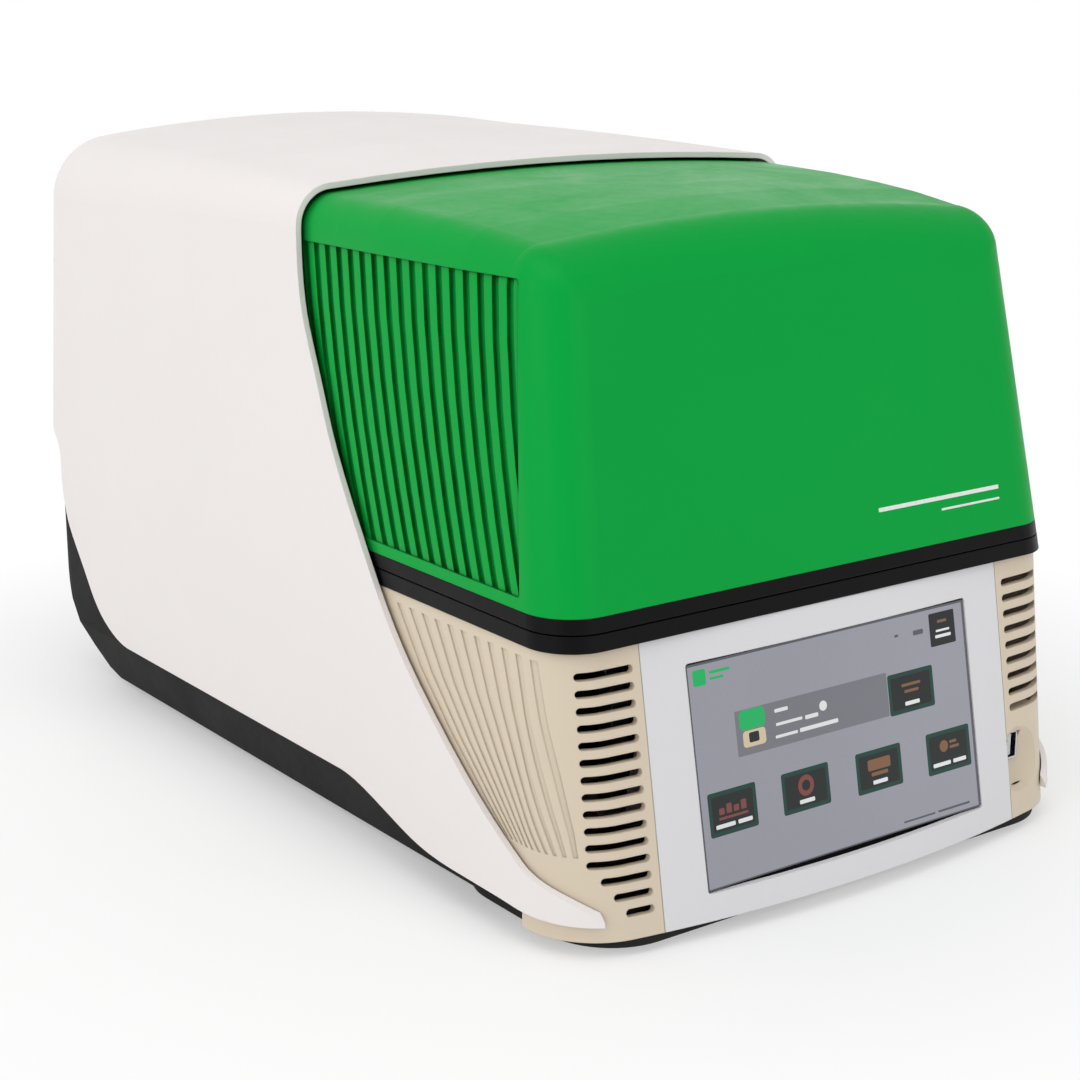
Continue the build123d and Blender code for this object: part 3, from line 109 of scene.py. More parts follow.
class Surface(Graph):
    """A new material's graph, textured in object coordinates."""

    def __init__(self, name):
        self.material = bpy.data.materials.new(name)
        self.material.use_nodes = True
        super().__init__(self.material.node_tree)
        self.output = self.add("OutputMaterial")
        self.coord = self.add("TexCoord").outputs["Object"]

    def noise(self, scale, detail=2.0, rough=0.5, stretch=None, distortion=0.0):
        coord = self.coord
        if stretch:
            coord = self.add("Mapping", Vector=coord, Scale=stretch).outputs[0]
        node = self.add("TexNoise", Vector=coord, Scale=scale, Detail=detail,
                        Roughness=rough, Distortion=distortion)
        return node.outputs["Fac"]

    def remap(self, value, span, to=(0.0, 1.0)):
        node = self.add("MapRange", settings={"clamp": True}, Value=value,
                        From_Min=span[0], From_Max=span[1], To_Min=to[0], To_Max=to[1])
        return node.outputs[0]

    def patches(self, span=(0.3, 0.7), to=(0.0, 1.0), **noise):
        """Noise with the given span stretched to a new range."""
        return self.remap(self.noise(**noise), span, to)

    def math(self, operation, a, b):
        return self.add("Math", a, b, settings={"operation": operation}).outputs[0]

    def plus(self, a, b):
        return self.math("ADD", a, b)

    def times(self, a, b):
        return self.math("MULTIPLY", a, b)

    def mix(self, amount, colour_a, colour_b):
        node = self.add("Mix", amount, settings={"data_type": "RGBA"})
        self.put(node.inputs[6], colour_a)  # inputs 6 and 7 are the colour pair
        self.put(node.inputs[7], colour_b)
        return node.outputs[2]

    def shades(self, amount, base, low, high):
        """Mix from the base colour times low to the base colour times high."""
        return self.mix(amount, scaled(base, low), scaled(base, high))

    def bevel(self, radius):
        return self.add("Bevel", settings={"samples": 4}, Radius=radius).outputs[0]

    def edge(self, bevel):
        """0 on faces, 1 along sharp edges."""
        normal = self.add("NewGeometry").outputs["Normal"]
        dot = self.add("VectorMath", bevel, normal, settings={"operation": "DOT_PRODUCT"})
        return self.remap(self.math("SUBTRACT", 1.0, dot.outputs["Value"]), span=(0.01, 0.16))

    def rub_edges(self, colour, bevel, amount, rubbed):
        return self.mix(self.times(self.edge(bevel), amount), colour, rubbed)

    def crevice(self, distance, span):
        """1 in corners, 0 in the open."""
        node = self.add("AmbientOcclusion", settings={"samples": 3}, Distance=distance)
        return self.remap(node.outputs["AO"], span, to=(1.0, 0.0))

    def bump(self, height, distance, strength, normal=None):
        node = self.add("Bump", Height=height, Distance=distance, Strength=strength)
        if normal is not None:
            self.put(node.inputs["Normal"], normal)
        return node.outputs[0]

    def wipe_marks(self):
        return self.noise(scale=9.0, detail=4.0, rough=0.6, stretch=(1.0, 1.0, 3.0),
                          distortion=1.2)

    def finish(self, **inputs):
        """Shade with a Principled BSDF and return the material."""
        self.put(self.output.inputs[0], self.add("BsdfPrincipled", **inputs).outputs[0])
        return self.material


def srgb(*channels):
    """sRGB 0..255 to linear RGBA."""

    def linear(value):
        value = value / 255.0
        return value / 12.92 if value <= 0.04045 else ((value + 0.055) / 1.055) ** 2.4

    return (*map(linear, channels), 1.0)


def scaled(colour, factor):
    return (*(min(channel * factor, 1.0) for channel in colour[:3]), 1.0)


# ---------------------------------------------------------------------------
# Materials
# ---------------------------------------------------------------------------
def plastic(name, rgb, rough=0.36, grain=1.0, vary=0.05, wear=None, wear_amount=0.35,
            crevice_shade=0.35, shade_rgb=None, reach=0.006, shade_span=(0.35, 0.95), spec=0.5, wavy=1.0):
    """Moulded plastic: fine grain, slow flow marks, smudges, painted shade in corners and gaps,
    rubbed edges.

    wear is the rubbed edge colour and shade_rgb the painted shade colour in corners and gaps;
    reach and shade_span set how far the painted shade spreads; grain and wavy scale the fine and
    the slow relief.
    """
    g = Surface(name)
    base = srgb(*rgb)
    flow = g.noise(scale=7.0, detail=3.0, rough=0.55, distortion=0.4)
    mottle = g.noise(scale=150.0, rough=0.6)
    colour = g.shades(g.remap(flow, span=(0.3, 0.7)), base, 1.0 - vary, 1.0 + vary)
    colour = g.mix(g.remap(mottle, span=(0.35, 0.65), to=(0.0, 0.25)),
                   colour, scaled(base, 1.0 - 0.6 * vary))

    bevel = g.bevel(radius=0.0007)
    edge = g.times(g.edge(bevel),
                   g.patches(scale=60.0, detail=3.0, span=(0.35, 0.7), to=(0.15, 1.0)))
    colour = g.mix(g.times(edge, wear_amount), colour,
                   srgb(*wear) if wear else scaled(base, 1.25))
    # Painted shade: ambient occlusion darkens the colour towards a darker crevice colour in
    # corners, gaps and recesses.
    corner = g.times(g.crevice(reach, shade_span),
                     g.patches(scale=35.0, detail=3.0, to=(0.7, 1.0)))
    colour = g.mix(g.times(corner, crevice_shade), colour,
                   srgb(*shade_rgb) if shade_rgb else scaled(base, 0.45))

    smudge = g.noise(scale=16.0, detail=4.0, rough=0.62, distortion=0.8)
    roughness = g.plus(g.remap(smudge, span=(0.35, 0.7), to=(rough - 0.05, rough + 0.07)),
                       g.remap(mottle, span=(0.3, 0.7), to=(-0.02, 0.03)))
    fine = g.noise(scale=1300.0, rough=0.7)
    coarse = g.noise(scale=420.0, rough=0.6)
    relief = g.plus(g.times(fine, 0.6), g.times(coarse, 0.7))
    normal = g.bump(relief, distance=0.00005 * grain, strength=0.6, normal=bevel)
    normal = g.bump(g.noise(scale=22.0, detail=1.0), distance=0.00035 * wavy, strength=0.5,
                    normal=normal)
    return g.finish(Base_Color=colour, Roughness=roughness, IOR=1.46, Normal=normal,
                    Specular_IOR_Level=spec)


def metal(name, rgb, rough, stretch, vary=0.06, tarnish=(120, 112, 100)):
    """Brushed or ground metal: drawn scratches, cloudy tarnish, bright rubbed edges."""
    g = Surface(name)
    base = srgb(*rgb)
    cloud = g.noise(scale=14.0, detail=4.0, rough=0.6, distortion=0.5)
    lines = g.noise(scale=30.0, detail=3.0, rough=0.75, stretch=stretch)
    colour = g.shades(g.remap(lines, span=(0.3, 0.7)), base, 1.0 - vary, 1.0 + vary)
    colour = g.mix(g.remap(cloud, span=(0.5, 0.78), to=(0.0, 0.35)), colour, srgb(*tarnish))
    bevel = g.bevel(radius=0.0004)
    colour = g.rub_edges(colour, bevel, amount=0.6, rubbed=scaled(base, 1.35))
    roughness = g.plus(g.remap(lines, span=(0.3, 0.7), to=(rough - 0.08, rough + 0.08)),
                       g.remap(cloud, span=(0.4, 0.7), to=(0.0, 0.10)))
    normal = g.bump(lines, distance=0.00004, strength=0.55, normal=bevel)
    normal = g.bump(g.noise(scale=700.0), distance=0.00002, strength=0.5, normal=normal)
    return g.finish(Base_Color=colour, Metallic=1.0, Roughness=roughness, Normal=normal)


def board(name, rgb):
    """Circuit board: solder mask with a grid of fine tracks and scattered round pads."""
    g = Surface(name)
    base = srgb(*rgb)
    tracks = g.add("TexBrick", Vector=g.coord, Scale=90.0, Mortar_Size=0.012,
                   Color1=scaled(base, 0.9), Color2=scaled(base, 1.25),
                   Mortar=scaled(base, 1.9))
    cells = g.add("TexVoronoi", Vector=g.coord, Scale=230.0)
    pads = g.remap(cells.outputs["Distance"], span=(0.10, 0.16), to=(1.0, 0.0))
    kept = g.patches(scale=40.0, span=(0.5, 0.56))
    colour = g.mix(g.times(pads, kept), tracks.outputs["Color"], srgb(196, 176, 118))
    normal = g.bump(tracks.outputs["Fac"], distance=0.00008, strength=0.4,
                    normal=g.bevel(radius=0.0003))
    normal = g.bump(g.noise(scale=900.0), distance=0.00002, strength=0.5, normal=normal)
    return g.finish(Base_Color=colour, Roughness=g.patches(scale=60.0, to=(0.28, 0.42)),
                    Normal=normal)


def rubber(name, rgb, rough=0.75):
    """Dull rubber with a coarse and a fine grain."""
    g = Surface(name)
    base = srgb(*rgb)
    colour = g.shades(g.patches(scale=30.0, detail=4.0, rough=0.65, span=(0.35, 0.7)),
                      base, 0.8, 1.35)
    bevel = g.bevel(radius=0.0006)
    colour = g.rub_edges(colour, bevel, amount=0.4, rubbed=scaled(base, 2.4))
    relief = g.plus(g.noise(scale=800.0, detail=3.0, rough=0.7),
                    g.times(g.noise(scale=160.0), 0.8))
    roughness = g.patches(scale=50.0, detail=3.0, to=(rough - 0.1, rough + 0.12))
    return g.finish(Base_Color=colour, Roughness=roughness,
                    Normal=g.bump(relief, distance=0.00008, strength=0.6, normal=bevel))


def belt(name, rgb):
    """Toothed belt: crossed ribs and a fabric-like grain."""
    g = Surface(name)
    base = srgb(*rgb)
    ribs_x, ribs_y = (
        g.add("TexWave", settings={"bands_direction": axis}, Vector=g.coord, Scale=80.0,
              Distortion=0.0).outputs["Fac"] for axis in "XY")
    ribs = g.times(ribs_x, ribs_y)
    colour = g.shades(g.patches(scale=300.0, detail=3.0, rough=0.7), base, 0.7, 1.6)
    normal = g.bump(ribs, distance=0.0002, strength=0.5, normal=g.bevel(radius=0.0003))
    normal = g.bump(g.noise(scale=1500.0), distance=0.00005, strength=0.7, normal=normal)
    return g.finish(Base_Color=colour, Roughness=g.patches(scale=80.0, to=(0.55, 0.75)),
                    Normal=normal)


def cover_glass(name):
    """Dark cover glass: faint wipe marks and a lighter edge."""
    g = Surface(name)
    wipe = g.wipe_marks()
    bevel = g.bevel(radius=0.0004)
    colour = g.mix(g.patches(scale=40.0, detail=3.0), srgb(58, 58, 64), srgb(70, 70, 76))
    colour = g.rub_edges(colour, bevel, amount=0.7, rubbed=srgb(140, 150, 150))
    roughness = g.remap(wipe, span=(0.4, 0.75), to=(0.10, 0.2))
    normal = g.bump(g.noise(scale=1500.0, detail=1.0), distance=0.000006, strength=0.4,
                    normal=bevel)
    return g.finish(Base_Color=colour, Roughness=roughness, IOR=1.5, Normal=normal,
                    Specular_IOR_Level=0.4)


def coated_lens(name):
    """Clear glass with a blue to violet tint."""
    g = Surface(name)
    tint = g.mix(g.patches(scale=90.0), (0.55, 0.62, 0.85, 1), (0.72, 0.58, 0.82, 1))
    return g.finish(Base_Color=tint, Roughness=g.patches(scale=300.0, to=(0.03, 0.08)),
                    IOR=1.5, Transmission_Weight=0.75, Coat_Weight=0.6,
                    Normal=g.bump(g.noise(scale=1200.0), distance=0.000005, strength=0.4))


def lit_area(name, rgb, power, back):
    """Lit part of the display: slightly uneven brightness, over the unlit colour back."""
    g = Surface(name)
    slow = g.patches(scale=5.0, to=(0.94, 1.05))
    fine = g.patches(scale=900.0, detail=1.0, to=(0.985, 1.015))
    roughness = g.remap(g.wipe_marks(), span=(0.4, 0.75), to=(0.14, 0.24))
    normal = g.bump(g.noise(scale=1500.0, detail=1.0), distance=0.000006, strength=0.4)
    return g.finish(Base_Color=srgb(*back), Roughness=roughness, Normal=normal,
                    Specular_IOR_Level=0.3, Emission_Color=srgb(*rgb),
                    Emission_Strength=g.times(g.times(slow, fine), power))


def ink(name, rgb, rough=0.45):
    """Printed ink with a slightly uneven tone and sheen."""
    g = Surface(name)
    colour = g.shades(g.patches(scale=500.0, detail=3.0), srgb(*rgb), 0.93, 1.05)
    roughness = g.patches(scale=120.0, to=(rough - 0.06, rough + 0.06))
    return g.finish(Base_Color=colour, Roughness=roughness,
                    Normal=g.bump(g.noise(scale=1400.0), distance=0.00002, strength=0.5))


def floor_paper():
    """White paper that fades into a plain white glow away from the instrument."""
    g = Surface("floor_paper")
    colour = g.mix(g.patches(scale=3.0, detail=3.0), (0.90, 0.90, 0.90, 1), (0.93, 0.93, 0.93, 1))
    paper = g.add("BsdfPrincipled", Base_Color=colour, Roughness=0.85, Specular_IOR_Level=0.1,
                  Normal=g.bump(g.noise(scale=500.0, detail=3.0), distance=0.0001, strength=0.3))
    length = g.add("VectorMath", g.coord, settings={"operation": "LENGTH"})
    glow_share = g.remap(length.outputs["Value"], span=(0.24, 0.52), to=(0.34, 1.0))
    glow = g.add("Emission", Color=(1, 1, 1, 1), Strength=1.0)
    blend = g.add("MixShader", glow_share, paper.outputs[0], glow.outputs[0])
    g.put(g.output.inputs[0], blend.outputs[0])
    return g.material


# One material for each material slot
MATERIALS = {
    # The crevice amounts and colours below set how dark the painted shade gets in corners and
    # gaps.
    "shell_white": plastic(
        "shell_white_plastic", (234, 229, 227), rough=0.42, vary=0.012, wear=(248, 246, 244),
        crevice_shade=0.12, reach=0.004, shade_rgb=(168, 162, 156), shade_span=(0.2, 0.8)),
    "cowl_beige": plastic(
        "cowl_beige_plastic", (214, 200, 178), rough=0.46, vary=0.02, wear=(232, 222, 204),
        crevice_shade=0.4, reach=0.004, shade_rgb=(140, 124, 102), shade_span=(0.3, 0.9)),
    "bezel_white": plastic(
        "bezel_white_plastic", (220, 219, 221), rough=0.38, vary=0.012, wear=(244, 244, 246),
        crevice_shade=0.2, reach=0.004),
    # The lid's strong dark green crevice colour paints the shade inside its vent gaps.
    "lid_green": plastic(
        "lid_green_plastic", (0, 160, 62), rough=0.36, vary=0.02, wear=(50, 190, 104),
        wear_amount=0.25, crevice_shade=0.95, shade_rgb=(0, 66, 10), reach=0.008, spec=0.10, wavy=0.3,
        grain=0.6, shade_span=(0.66, 0.97)),
    "trim_black": plastic(
        "trim_black_plastic", (8, 7, 9), rough=0.38, vary=0.2, wear=(40, 38, 42),
        wear_amount=0.15, crevice_shade=0.2, spec=0.14),
    "base_grey": plastic(
        "base_grey_plastic", (40, 39, 39), rough=0.6, vary=0.06, wear=(70, 69, 68),
        grain=1.6, spec=0.08, wavy=0.3),
    "foot_rubber": rubber("foot_rubber_compound", (28, 28, 29)),
    "screen_glass": cover_glass("screen_cover_glass"),
    "module_dark": plastic(
        "module_dark_housing", (34, 35, 38), rough=0.45, vary=0.12, wear=(90, 92, 96), crevice_shade=0.3),
    "steel_sheet": metal(
        "steel_sheet_zinc", (170, 172, 174), rough=0.42, stretch=(2.0, 30.0, 30.0)),
    "steel_bright": metal(
        "steel_bright_ground", (196, 197, 200), rough=0.22, stretch=(1.0, 60.0, 60.0), vary=0.04),
    "alu": metal(
        "aluminium_machined", (206, 207, 210), rough=0.30, stretch=(3.0, 50.0, 50.0),
        tarnish=(170, 170, 172)),
    "alu_black": metal(
        "aluminium_black_anodised", (44, 45, 48), rough=0.40, stretch=(30.0, 3.0, 30.0),
        tarnish=(60, 60, 64)),
    "ceramic_white": plastic(
        "ceramic_white_body", (228, 226, 218), rough=0.5, vary=0.03, wavy=0.3),
    "board_green": board("board_solder_mask", (16, 84, 52)),
    "fan_black": plastic(
        "fan_black_plastic", (22, 22, 24), rough=0.45, vary=0.15, wear=(70, 70, 74), grain=1.3),
    "seal_grey": rubber("seal_grey_silicone", (120, 122, 124), rough=0.6),
    "belt_black": belt("belt_black_toothed", (24, 24, 25)),
    "cable_grey": plastic(
        "cable_grey_flat", (158, 158, 160), rough=0.5, vary=0.05, grain=1.2),
    "lens_glass": coated_lens("lens_coated_glass"),
    "brass_gear": metal(
        "gear_brass", (196, 164, 96), rough=0.28, stretch=(4.0, 50.0, 50.0),
        tarnish=(120, 96, 56)),
    "duct_plastic": plastic(
        "duct_dark_plastic", (52, 53, 56), rough=0.55, vary=0.08, wear=(96, 97, 100)),
}

slot_of = {part["node"]: part.get("material_slot")
           for part in frame["record"].get("subparts", [])}
for name, obj in frame["nodes"].items():
    slot = slot_of.get(name)
    obj.data.materials.clear()
    obj.data.materials.append(MATERIALS[slot])


# ---------------------------------------------------------------------------
# Mesh helpers
# ---------------------------------------------------------------------------
def mesh_object(name, bm, material, smooth=False):
    mesh = bpy.data.meshes.new(name)
    bmesh.ops.recalc_face_normals(bm, faces=bm.faces[:])
    bm.to_mesh(mesh)
    bm.free()
    mesh.polygons.foreach_set("use_smooth", [smooth] * len(mesh.polygons))
    obj = bpy.data.objects.new(name, mesh)
    bpy.context.scene.collection.objects.link(obj)
    mesh.materials.append(material)
    return obj


def fit(obj, body):
    """Make the object move with a body."""
    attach(obj, body)


def rounded_rect(left, right, bottom, top, radius, steps=5):
    """Outline points, with the radius held just under half the shorter side."""
    radius = max(min(radius, (right - left) / 2 - 1e-6, (top - bottom) / 2 - 1e-6), 1e-7)
    corners = ((right - radius, top - radius, 0), (left + radius, top - radius, 90),
               (left + radius, bottom + radius, 180), (right - radius, bottom + radius, 270))
    points = []
    for x, y, start in corners:
        for i in range(steps + 1):
            angle = math.radians(start + 90 * i / steps)
            points.append((x + radius * math.cos(angle), y + radius * math.sin(angle)))
    return points


def disc(x, y, radius, count=28):
    angles = [2 * math.pi * i / count for i in range(count)]
    return [(x + radius * math.cos(a), y + radius * math.sin(a)) for a in angles]


def join_rings(bm, ring_a, ring_b):
    count = len(ring_a)
    for i in range(count):
        j = (i + 1) % count
        bm.faces.new((ring_a[i], ring_a[j], ring_b[j], ring_b[i]))


def prisms(outlines, place, low, high):
    """Closed prisms between two heights; place(x, y, height) gives each point."""
    bm = bmesh.new()
    for points in outlines:
        bottom, top = ([bm.verts.new(place(x, y, height)) for x, y in points]
                       for height in (low, high))
        join_rings(bm, bottom, top)
        bm.faces.new(bottom[::-1])
        bm.faces.new(top)
    return bm


# ---------------------------------------------------------------------------
# Display picture: thin stacked plates, laid out from the screen's lower left corner
# ---------------------------------------------------------------------------
# Heights of the plates' faces above the bottom of the picture
PICTURE_BOTTOM = -0.49  # measured outward from the screen plane
BAND_BOTTOM = -0.02
BAND_TOP = 0.048
PANEL_TOP = 0.108
FLAT_TOP = 0.156  # the bar and the thin lines
RIM_TOP = 0.168
MARK_TOP = 0.180
TILE_TOP = 0.228
MINI_TOP = 0.240
ICON_TOP = 0.276
CAPTION_TOP = 0.288
HOLE_TOP = 0.312

# name: lit colour, brightness, unlit colour
LIT_AREAS = {
    "ui_background": ((150, 150, 160), 0.95, (12, 12, 14)),
    "ui_bar": ((118, 118, 126), 0.95, (12, 12, 14)),
    "ui_tile_rim": ((18, 62, 54), 0.9, (10, 12, 12)),
    "ui_tile": ((30, 34, 34), 0.9, (10, 12, 12)),
    "ui_icon_red": ((120, 66, 62), 1.0, (14, 10, 10)),
    "ui_icon_brown": ((122, 88, 62), 1.0, (14, 10, 10)),
    "ui_caption": ((212, 216, 216), 1.0, (60, 60, 60)),
    "ui_green": ((20, 172, 92), 1.0, (8, 30, 18)),
    "ui_cream": ((206, 190, 160), 0.95, (40, 38, 34)),
    "ui_line": ((84, 88, 92), 0.95, (14, 14, 14)),
    "ui_edge": ((96, 96, 104), 0.8, (10, 10, 12)),
}
lit = {name: lit_area(name, *values) for name, values in LIT_AREAS.items()}


def on_screen(x, y, out):
    return (SCREEN_MIDDLE + RIGHT * ((x - SCREEN_WIDTH / 2) * MM)
            + FRONT_UP * ((y - SCREEN_HEIGHT / 2) * MM) + FRONT_OUT * (out * MM))


def plate(name, outlines, material, low, high):
    bm = prisms(outlines, on_screen, PICTURE_BOTTOM + low, PICTURE_BOTTOM + high)
    fit(mesh_object(name, bm, lit[material]), "machine")


def share_rect(left, right, bottom, top, radius=1.0):
    """Rectangle whose sides are shares of the screen's width and height."""
    return rounded_rect(left * SCREEN_WIDTH, right * SCREEN_WIDTH,
                        bottom * SCREEN_HEIGHT, top * SCREEN_HEIGHT, radius)


def rects_from(origin, *rects):
    """Rectangles (left, right, bottom, top, radius) measured from an origin."""
    x, y = origin
    return [rounded_rect(x + left, x + right, y + bottom, y + top, radius)
            for left, right, bottom, top, radius in rects]


def share_line(left, right, bottom, thickness, radius):
    """Line placed by shares of the screen, with its thickness in millimetres."""
    return rounded_rect(left * SCREEN_WIDTH, right * SCREEN_WIDTH, bottom * SCREEN_HEIGHT,
                        bottom * SCREEN_HEIGHT + thickness, radius)


def middle(tile):
    left, right, bottom, top = tile
    return (left + right) / 2 * SCREEN_WIDTH, (bottom + top) / 2 * SCREEN_HEIGHT


# Tiles as shares of the screen: left, right, bottom, top
TILES = [
    (0.029, 0.190, 0.231, 0.424),  # four in the lower row, from the left
    (0.279, 0.445, 0.234, 0.420),
    (0.544, 0.711, 0.224, 0.414),
    (0.809, 0.976, 0.216, 0.412),
    (0.687, 0.857, 0.539, 0.728),  # right of the bar's middle
]
SMALL_TILE = (0.861, 0.958, 0.806, 0.960)
RIM_X, RIM_Y = 0.012, 0.020  # rim widths as shares of the screen

# Caption bars of each tile: left and right as shares of the tile's width
ONE_BAR = [(0.34, 0.66)]
TWO_BARS = [(0.12, 0.52), (0.58, 0.88)]
TILE_CAPTIONS = [TWO_BARS, ONE_BAR, ONE_BAR, TWO_BARS, ONE_BAR]
CAPTION_LOW, CAPTION_HIGH = 0.032, 0.050  # above the tile's bottom, shares of the screen

# Caption bars beside the small instrument: left, right, bottom, top, radius
BAR_CAPTIONS = [
    (0.279, 0.325, 0.696, 0.712, 0.5), (0.280, 0.372, 0.637, 0.650, 0.5),
    (0.382, 0.428, 0.632, 0.650, 0.5), (0.275, 0.352, 0.583, 0.596, 0.5),
    (0.360, 0.496, 0.582, 0.600, 0.5),
]
SMALL_TILE_CAPTIONS = [(0.880, 0.940, 0.842, 0.856, 0.4), (0.884, 0.936, 0.870, 0.880, 0.4)]


def picture_ground():
    plate("ui_edge_band", [rounded_rect(0.6, SCREEN_WIDTH - 0.6, 1.1, SCREEN_HEIGHT - 1.1, 0.6)],
          "ui_edge", BAND_BOTTOM, BAND_TOP)
    plate("ui_panel", [rounded_rect(1.3, SCREEN_WIDTH - 1.9, 1.7, SCREEN_HEIGHT - 2.1, 0.5)],
          "ui_background", BAND_TOP, PANEL_TOP)
    plate("ui_bar_strip", [share_rect(0.145, 0.684, 0.545, 0.745, 0.6)],
          "ui_bar", PANEL_TOP, FLAT_TOP)


def picture_tiles():
    plate("ui_tile_rims", [share_rect(*tile, 1.2) for tile in TILES],
          "ui_tile_rim", PANEL_TOP, RIM_TOP)
    faces = [(left + RIM_X, right - RIM_X, bottom + RIM_Y, top - RIM_Y)
             for left, right, bottom, top in TILES]
    plate("ui_tile_faces", [share_rect(*face, 0.8) for face in faces + [SMALL_TILE]],
          "ui_tile", RIM_TOP, TILE_TOP)


def picture_captions():
    captions = []
    for (left, right, bottom, _), bars in zip(TILES, TILE_CAPTIONS):
        width = right - left
        captions += [share_rect(left + start * width, left + end * width,
                                bottom + CAPTION_LOW, bottom + CAPTION_HIGH, 0.5)
                     for start, end in bars]
    captions += [share_rect(*bar) for bar in BAR_CAPTIONS]
    captions.append(disc(0.448 * SCREEN_WIDTH, 0.672 * SCREEN_HEIGHT, radius=2.4))
    captions += [share_rect(*bar) for bar in SMALL_TILE_CAPTIONS]
    plate("ui_captions", captions, "ui_caption", TILE_TOP, CAPTION_TOP)


def picture_icons():
    """Plain shapes in the tiles, measured from each tile's middle."""
    middles = [middle(tile) for tile in TILES]
    column_pitch = 4.4
    column_width = 3.2
    first_left = -8.4
    columns = [(first_left + i * column_pitch, first_left + column_width + i * column_pitch,
                -0.6, 2.4 + 1.5 * (i % 2), 0.5) for i in range(4)]
    red = rects_from(middles[0], *columns, (-8.8, 8.8, -3.0, -1.8, 0.4))
    ring_x, ring_y = middles[1][0], middles[1][1] + 1.8
    red.append(disc(ring_x, ring_y, radius=5.0))

    brown = rects_from(middles[2], (-7.5, 7.5, 0.2, 5.6, 1.0), (-5.5, 5.5, -2.6, -0.8, 0.5))
    brown.append(disc(middles[3][0] - 3.2, middles[3][1] + 2.6, radius=2.9))
    brown += rects_from(middles[3], (0.8, 7.2, 0.6, 2.0, 0.4), (0.8, 5.6, 3.2, 4.6, 0.4))
    brown += rects_from(middles[4], (-6.4, 6.4, 2.8, 4.2, 0.5), (-4.8, 4.8, -0.4, 1.0, 0.5))
    brown += rects_from(middle(SMALL_TILE), (-3.2, 3.2, 3.0, 4.4, 0.4))

    plate("ui_icons_red", red, "ui_icon_red", TILE_TOP, ICON_TOP)
    plate("ui_icons_brown", brown, "ui_icon_brown", TILE_TOP, ICON_TOP)
    plate("ui_icon_hole", [disc(ring_x, ring_y, radius=2.6)], "ui_tile", ICON_TOP, HOLE_TOP)


def picture_instrument():
    """Small picture of the instrument at the left end of the bar."""
    plate("ui_mini_lid", [share_rect(0.158, 0.245, 0.655, 0.742, 2.6)],
          "ui_green", FLAT_TOP, MINI_TOP)
    plate("ui_mini_base", [share_rect(0.166, 0.243, 0.578, 0.650, 1.8)],
          "ui_cream", FLAT_TOP, MINI_TOP)
    plate("ui_mini_screen", [share_rect(0.186, 0.220, 0.596, 0.640, 0.8)],
          "ui_tile", MINI_TOP, CAPTION_TOP)


def picture_marks():
    """Square with two lines at the upper left, and thin lines at the bottom and top."""
    corner = (0.022 * SCREEN_WIDTH, 0.892 * SCREEN_HEIGHT)
    plate("ui_square_mark", rects_from(corner, (0.0, 7.6, 0.0, 7.6, 1.2)),
          "ui_green", PANEL_TOP, MARK_TOP)
    plate("ui_square_lines",
          rects_from(corner, (9.8, 22.0, 4.4, 5.8, 0.4), (9.8, 18.0, 1.6, 2.8, 0.4)),
          "ui_green", PANEL_TOP, RIM_TOP)
    # left, right, bottom, thickness, radius
    lines = [(0.700, 0.820, 0.038, 0.9, 0.3), (0.832, 0.955, 0.038, 1.1, 0.3),
             (0.728, 0.742, 0.892, 1.2, 0.3), (0.798, 0.836, 0.880, 2.4, 0.6)]
    plate("ui_lines", [share_line(*line) for line in lines], "ui_line", PANEL_TOP, FLAT_TOP)


picture_ground()
picture_tiles()
picture_captions()
picture_icons()
picture_instrument()
picture_marks()


# ---------------------------------------------------------------------------
# Two printed stripes on the lid's front
# ---------------------------------------------------------------------------
LID_STRIPES = [(36.0, 119.0, 175.6, 177.6), (78.0, 119.0, 170.4, 171.5)]  # x span, z span
STRIPE_RADIUS = 0.5
STRIPE_THICKNESS = 0.06


def on_lid(x, z, out):
    return Vector((x, LID_FRONT_Y + FRONT_SLOPE * z, z)) * MM + FRONT_OUT * (out * MM)


stripes = mesh_object(
    "lid_front_stripes",
    prisms([rounded_rect(*stripe, STRIPE_RADIUS) for stripe in LID_STRIPES],
           on_lid, 0.0, STRIPE_THICKNESS),
    ink("ink_pale", (226, 236, 228)))
fit(stripes, "lid")


# ---------------------------------------------------------------------------
# Round-wire fan guards on the back, in place of the plain CAD rings
# ---------------------------------------------------------------------------
FAN_X = 62.0  # to either side of the middle
FAN_Z = 214.0
RING_RADII = (8.0, 14.0, 20.0, 26.0, 32.0, 37.6)
RING_WIRE = 0.75  # wire radii
SPOKE_WIRE = 0.8
EYE_WIRE = 0.9
EYE_RADIUS = 3.2
EYE_REACH = 50.56  # from the fan's middle to an eye's middle
RING_DEPTH = 2.0  # depths inside the back's outer face
SPOKE_DEPTH = 3.1
EYE_DEPTH = 2.4
SPOKE_STATIONS = [7.3] + [10 + 4 * k for k in range(8)] + [44.0]  # from the fan's middle
SPOKE_END_GAP = 4.2  # from the spoke's end to the eye's middle
SPOKE_SIDES = 10


def back_point(x, z, depth):
    base = Vector((x, BACK_Y, 0.0)) + BACK_UP * (z * BACK_STRETCH)
    return (base - BACK_OUT * depth) * MM


def wire_ring(bm, centre, radius, wire, around=72, sides=10):
    """Torus lying in the back's plane."""
    normal = RIGHT.cross(BACK_UP)
    sections = []
    for i in range(around):
        a = 2 * math.pi * i / around
        outward = RIGHT * math.cos(a) + BACK_UP * math.sin(a)
        section = []
        for j in range(sides):
            b = 2 * math.pi * j / sides
            offset = outward * (radius + wire * math.cos(b)) + normal * (wire * math.sin(b))
            section.append(bm.verts.new(centre + offset * MM))
        sections.append(section)
    for i in range(around):
        join_rings_across(bm, sections[i], sections[(i + 1) % around])


def join_rings_across(bm, ring_a, ring_b):
    """As join_rings, with each face starting across from ring_a to ring_b."""
    count = len(ring_a)
    for i in range(count):
        j = (i + 1) % count
        bm.faces.new((ring_a[i], ring_b[i], ring_b[j], ring_a[j]))


